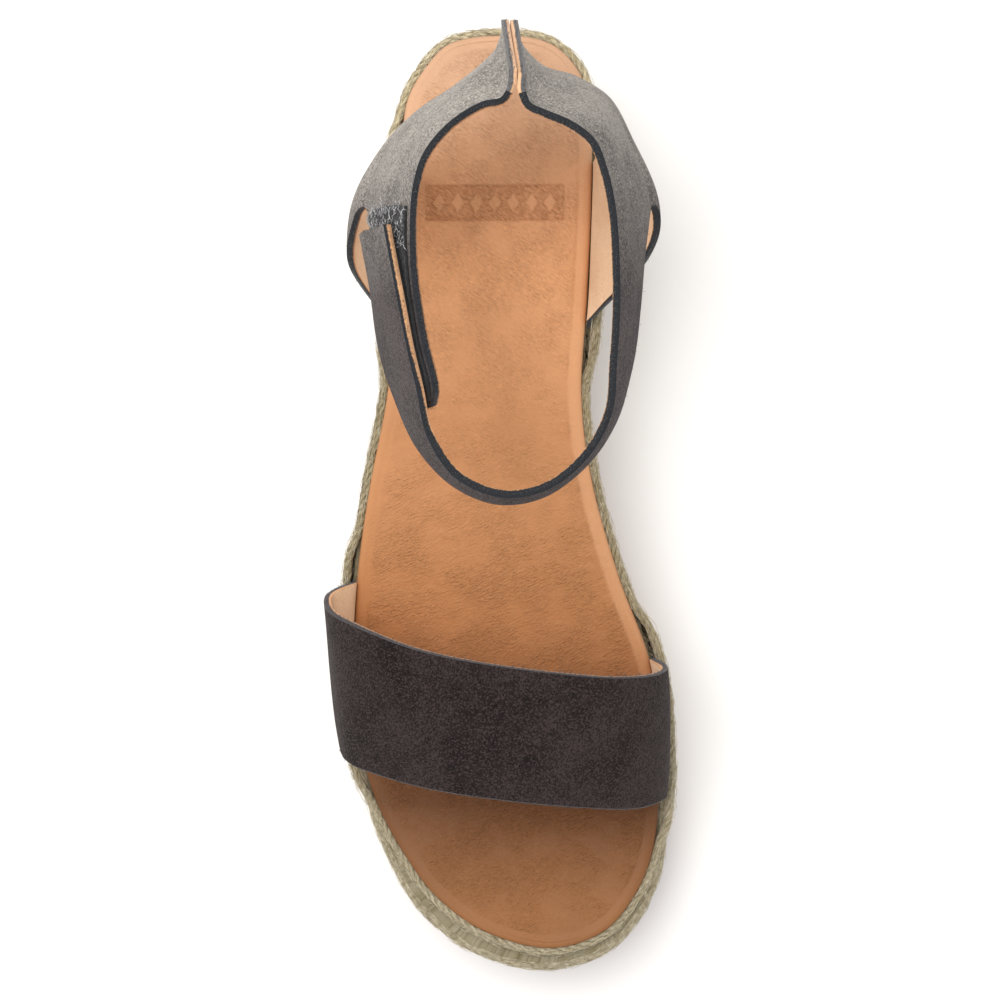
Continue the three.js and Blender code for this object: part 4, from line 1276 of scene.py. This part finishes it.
# Soft creases in a quarter: from and to as shares along and across, depth and half width in mm.
quarterCreases = {
    -1: [
        (0.17, 0.82, 0.62, 0.84, -0.3, 1.3), (0.17, 0.93, 0.62, 0.94, 0.25, 1.0),
        (0.2, 0.3, 0.34, 0.62, -0.35, 2.2), (0.3, 0.15, 0.44, 0.5, 0.3, 2.0),
        (0.42, 0.1, 0.56, 0.46, -0.3, 2.0), (0.5, 0.35, 0.58, 0.7, 0.25, 1.6),
    ],
    1: [
        (0.1, 0.83, 0.42, 0.82, -0.3, 1.3), (0.1, 0.93, 0.42, 0.93, 0.25, 1.0),
        (0.12, 0.6, 0.2, 0.2, -0.35, 2.2), (0.2, 0.65, 0.28, 0.22, 0.3, 2.0),
        (0.28, 0.5, 0.36, 0.15, -0.3, 2.0), (0.5, 0.25, 0.64, 0.4, 0.2, 1.6),
    ],
}
quarterSpread = {-1: (130, 32), 1: (275, 28)}  # about how long and wide a quarter is, in mm


def creaseHeight(side, s, t):
    long, wide = quarterSpread[side]
    p = Vector((s * long, t * wide))
    height = 0.0
    for s0, t0, s1, t1, depth, reach in quarterCreases[side]:
        a, b = Vector((s0 * long, t0 * wide)), Vector((s1 * long, t1 * wide))
        along = clamp01((p - a).dot(b - a) / (b - a).length_squared)
        off = (p - a.lerp(b, along)).length
        if off < 3 * reach:
            height -= depth * mm * hump(off, reach) * (0.3 + 0.7 * math.sin(math.pi * along))
    return height


def faceNormal(quarterAt, s, t):
    step = 0.002
    a = quarterAt(s + step, t) - quarterAt(s - step, t)
    b = quarterAt(s, min(1, t + 0.02)) - quarterAt(s, max(0, t - 0.02))
    return a.cross(b).normalized()


def makeQuarter(bm, quarterAt, side, columns, legColumns, legRows):
    spanLow, spanHigh = quarterLook["legSpan"][side]
    margin = 0.14 if side < 0 else 0.07
    middle = (spanLow + spanHigh) / 2
    cuts = []
    for t in evenly(0, 1, legRows):
        back = cutAt(quarterAt, side, backCut, t, spanLow - margin, middle)
        front = cutAt(quarterAt, side, frontCut, t, middle, spanHigh + margin)
        cuts.append((back, front))
    back, front = cuts[0]
    stations = evenly(0, back, round(columns * back))
    stations += evenly(back, front, legColumns)[1:]
    stations += evenly(front, 1, round(columns * (1 - front)))[1:]

    def rough(p, free):
        p.x += free * 0.3 * mm * noise.noise(Vector((p.x * 60, p.y * 50, p.z * 60)))
        p.z += free * 0.4 * mm * noise.noise(Vector((p.x * 40, p.y * 70, 5)))
        return p

    def placeCollar(s, t):
        p = quarterAt(s, t)
        height = creaseHeight(side, s, t) * ease(t * 6)
        if abs(height) > 0.005 * mm:
            normal = faceNormal(quarterAt, s, t)
            away = normal.dot(Vector((p.x - 3 * mm, p.y - 62 * mm, 0)))
            p = p + normal * (height if away > 0 else -height)
        return rough(p, ease(s * 12))

    shapedGrid(stations, evenly(0, 1, 34), placeCollar, bm)

    def placeLeg(share, t):
        low, high = cuts[round(t * legRows)]
        at = mix(low, high, share)
        return rough(legPoint(quarterAt, side, at, t), ease((1 - t) * 5) if t else ease(at * 12))

    shapedGrid(evenly(0, 1, legColumns), evenly(0, 1, legRows), placeLeg, bm)


def makeQuarters():
    quarters = (
        ("tabQuarterSuede", "quarter_tab", lateralAt, -1, 190, 2600),
        ("strapQuarterSuede", "quarter_strap", medialAt, 1, 400, 4200),
    )
    for name, node, quarterAt, side, columns, hairs in quarters:
        bm = bmesh.new()
        makeQuarter(bm, quarterAt, side, columns, 56, 60)
        bmesh.ops.remove_doubles(bm, verts=bm.verts, dist=0.02 * mm)
        bmesh.ops.recalc_face_normals(bm, faces=bm.faces)

        def half(v):
            skived = ease((footbedTop(v.co.y) + 8 * mm - v.co.z) / (7 * mm))
            return mix(quarterLook["wall"], footWall, skived) / 2

        bm.normal_update()
        # the outer side faces away from the ankle
        centre = Vector((3 * mm, 62 * mm, 0))
        facing = sum(
            f.normal.dot(Vector((f.calc_center_median().x, f.calc_center_median().y, 0)) - centre)
            for f in bm.faces
        )
        finStart = collarPoint(0, lateralTable[0][1], 1).y + quarterLook["wall"]

        def rimKind(p):
            if p.y > finStart:
                return 3
            return 4 if side > 0 else 2

        thicken(bm, half, flip=facing < 0, rimKind=rimKind)
        spots = rimSpots(bm, (2, 3, 4))
        makePiece(bm, name, [suedeQuarters, tanLining, dyedEdge, finEdge, strapEdge], [node])
        makeEdgeNap(name + "Nap", spots, hairs, 31 + side, napHair)


makeBand()
makeQuarters()

# Hook and loop closure

closureLook = {
    "margin": {"top": 0.04, "low": 0.12},
    "hookSpan": (0.588, 0.668, 0.96),  # start at the upper and lower edge, and end
    "loopSpan": (0.85, 0.85, 0.985),
    "hooks": 1300,
    "loops": 1500,
    "thread": 0.07 * mm,
    "clearShare": 0.2,  # how far the clear threads reach from the hook tape's open end
    "clear": 330,
}


def makePatch(name, node, quarterAt, span, sign, materials, threads, seed, curl, clear=0):
    near = halfWall + gap
    low, high = closureLook["margin"]["low"], 1 - closureLook["margin"]["top"]

    def slanted(share, t):
        return mix(mix(span[1], span[0], t), span[2], share)

    def place(share, t):
        s = slanted(share, t)
        return quarterAt(s, t) + faceNormal(quarterAt, s, t) * sign * (near + patchThickness / 2)

    bm = shapedGrid(evenly(0, 1, 90), evenly(low, high, 36), place)
    thicken(bm, lambda v: patchThickness / 2, 0.15 * mm)
    for f in bm.faces:
        f.material_index = 0
    rng = random.Random(seed)

    def thread(s, t, reach, height):
        n = faceNormal(quarterAt, s, t) * sign
        a = quarterAt(s, t) + n * (near + patchThickness * 0.8)
        along = (quarterAt(s + 0.004, t) - quarterAt(s - 0.004, t)).normalized()
        away = along * rng.uniform(-1, 1) + n.cross(along) * rng.uniform(-1, 1)
        return a, a + n * height + away * reach * 0.3, a + away * reach + n * 0.12 * mm

    def start(rng):
        t = rng.uniform(low, high)
        return thread(slanted(rng.random(), t), t, curl, 0.75 * mm)

    def startClear(rng):
        t = rng.uniform(low, high)
        s = slanted(closureLook["clearShare"] * rng.random() ** 1.6, t)
        return thread(s, t, rng.uniform(1.5, 3.5) * mm, rng.uniform(0.5, 1.3) * mm)

    kinds = [(threads, start, 1, 1)]
    if clear:
        kinds.append((clear, startClear, 2, 1.3))
    for count, startOne, index, thickness in kinds:
        threadMesh = bmesh.new()
        addFibres(threadMesh, rng, count, startOne, closureLook["thread"] * thickness)
        for f in threadMesh.faces:
            f.material_index = index
        mesh = bpy.data.meshes.new("threads")
        threadMesh.to_mesh(mesh)
        threadMesh.free()
        bm.from_mesh(mesh)
        bpy.data.meshes.remove(mesh)
    return makePiece(bm, name, materials, [node])


outOfTab = -1 if faceNormal(lateralAt, 0.7, 0.5).x > 0 else 1
intoStrap = 1 if faceNormal(medialAt, 0.93, 0.5).x > 0 else -1
makePatch(
    "hookTape", "closure_hook", lateralAt, closureLook["hookSpan"], outOfTab,
    [blackPile, blackPile, clearNylon], closureLook["hooks"], 5, 0.7 * mm, closureLook["clear"],
)
makePatch(
    "loopTape", "closure_loop", medialAt, closureLook["loopSpan"], intoStrap,
    [blackPile, blackPile], closureLook["loops"], 6, 0.9 * mm,
)

# Floor, light and camera

stageLook = {
    "floor": (0.93, 0.918, 0.915),
    "world": 0.91,
    "keyPower": 11,
    "keySize": 0.9,
    "keyPlace": (-0.24, 0.3, 1.15),
    "keyTarget": (-0.02, 0.02, 0.03),
    "keyColour": (1, 0.985, 0.96),
}


def makeFloor():
    bm = bmesh.new()
    bmesh.ops.create_grid(bm, x_segments=1, y_segments=1, size=6)
    mesh = bpy.data.meshes.new("floor")
    bm.to_mesh(mesh)
    bm.free()
    floor = bpy.data.objects.new("floor", mesh)
    floor.location.z = -0.1 * mm
    finish = Finish("floorPaper", {"Base Color": (*stageLook["floor"], 1), "Roughness": 0.9})
    mesh.materials.append(finish.material)
    bpy.context.scene.collection.objects.link(floor)


def addLight(name, power, size, place, target, colour=(1, 1, 1)):
    light = bpy.data.lights.new(name, "AREA")
    light.energy = power
    light.size = size
    light.color = colour
    lamp = bpy.data.objects.new(name, light)
    lamp.location = place
    lamp.rotation_euler = (Vector(target) - Vector(place)).to_track_quat("-Z", "Y").to_euler()
    bpy.context.scene.collection.objects.link(lamp)


makeFloor()
world = bpy.data.worlds.new("studio")
bpy.context.scene.world = world
world.use_nodes = True
world.node_tree.nodes["Background"].inputs["Color"].default_value = (1, 1, 1, 1)
world.node_tree.nodes["Background"].inputs["Strength"].default_value = stageLook["world"]
bpy.context.scene.view_settings.view_transform = "Standard"
addLight(
    "key", stageLook["keyPower"], stageLook["keySize"], stageLook["keyPlace"],
    stageLook["keyTarget"], stageLook["keyColour"],
)

# The camera stands where the photograph's stood and turns to the one shoe.
cameraLook = {"place": (0.05, 0.0035, 0.88), "target": (-0.0015, 0.0, 0.04), "lens": 112.46}
camera = bpy.data.objects.new("camera", bpy.data.cameras.new("camera"))
camera.data.lens = cameraLook["lens"]
camera.data.sensor_width = 36
camera.location = cameraLook["place"]
back = (Vector(cameraLook["place"]) - Vector(cameraLook["target"])).normalized()
right = Vector((0, 1, 0)).cross(back).normalized()
up = back.cross(right)
camera.rotation_euler = Matrix((right, up, back)).transposed().to_euler()
bpy.context.scene.collection.objects.link(camera)
bpy.context.scene.camera = camera
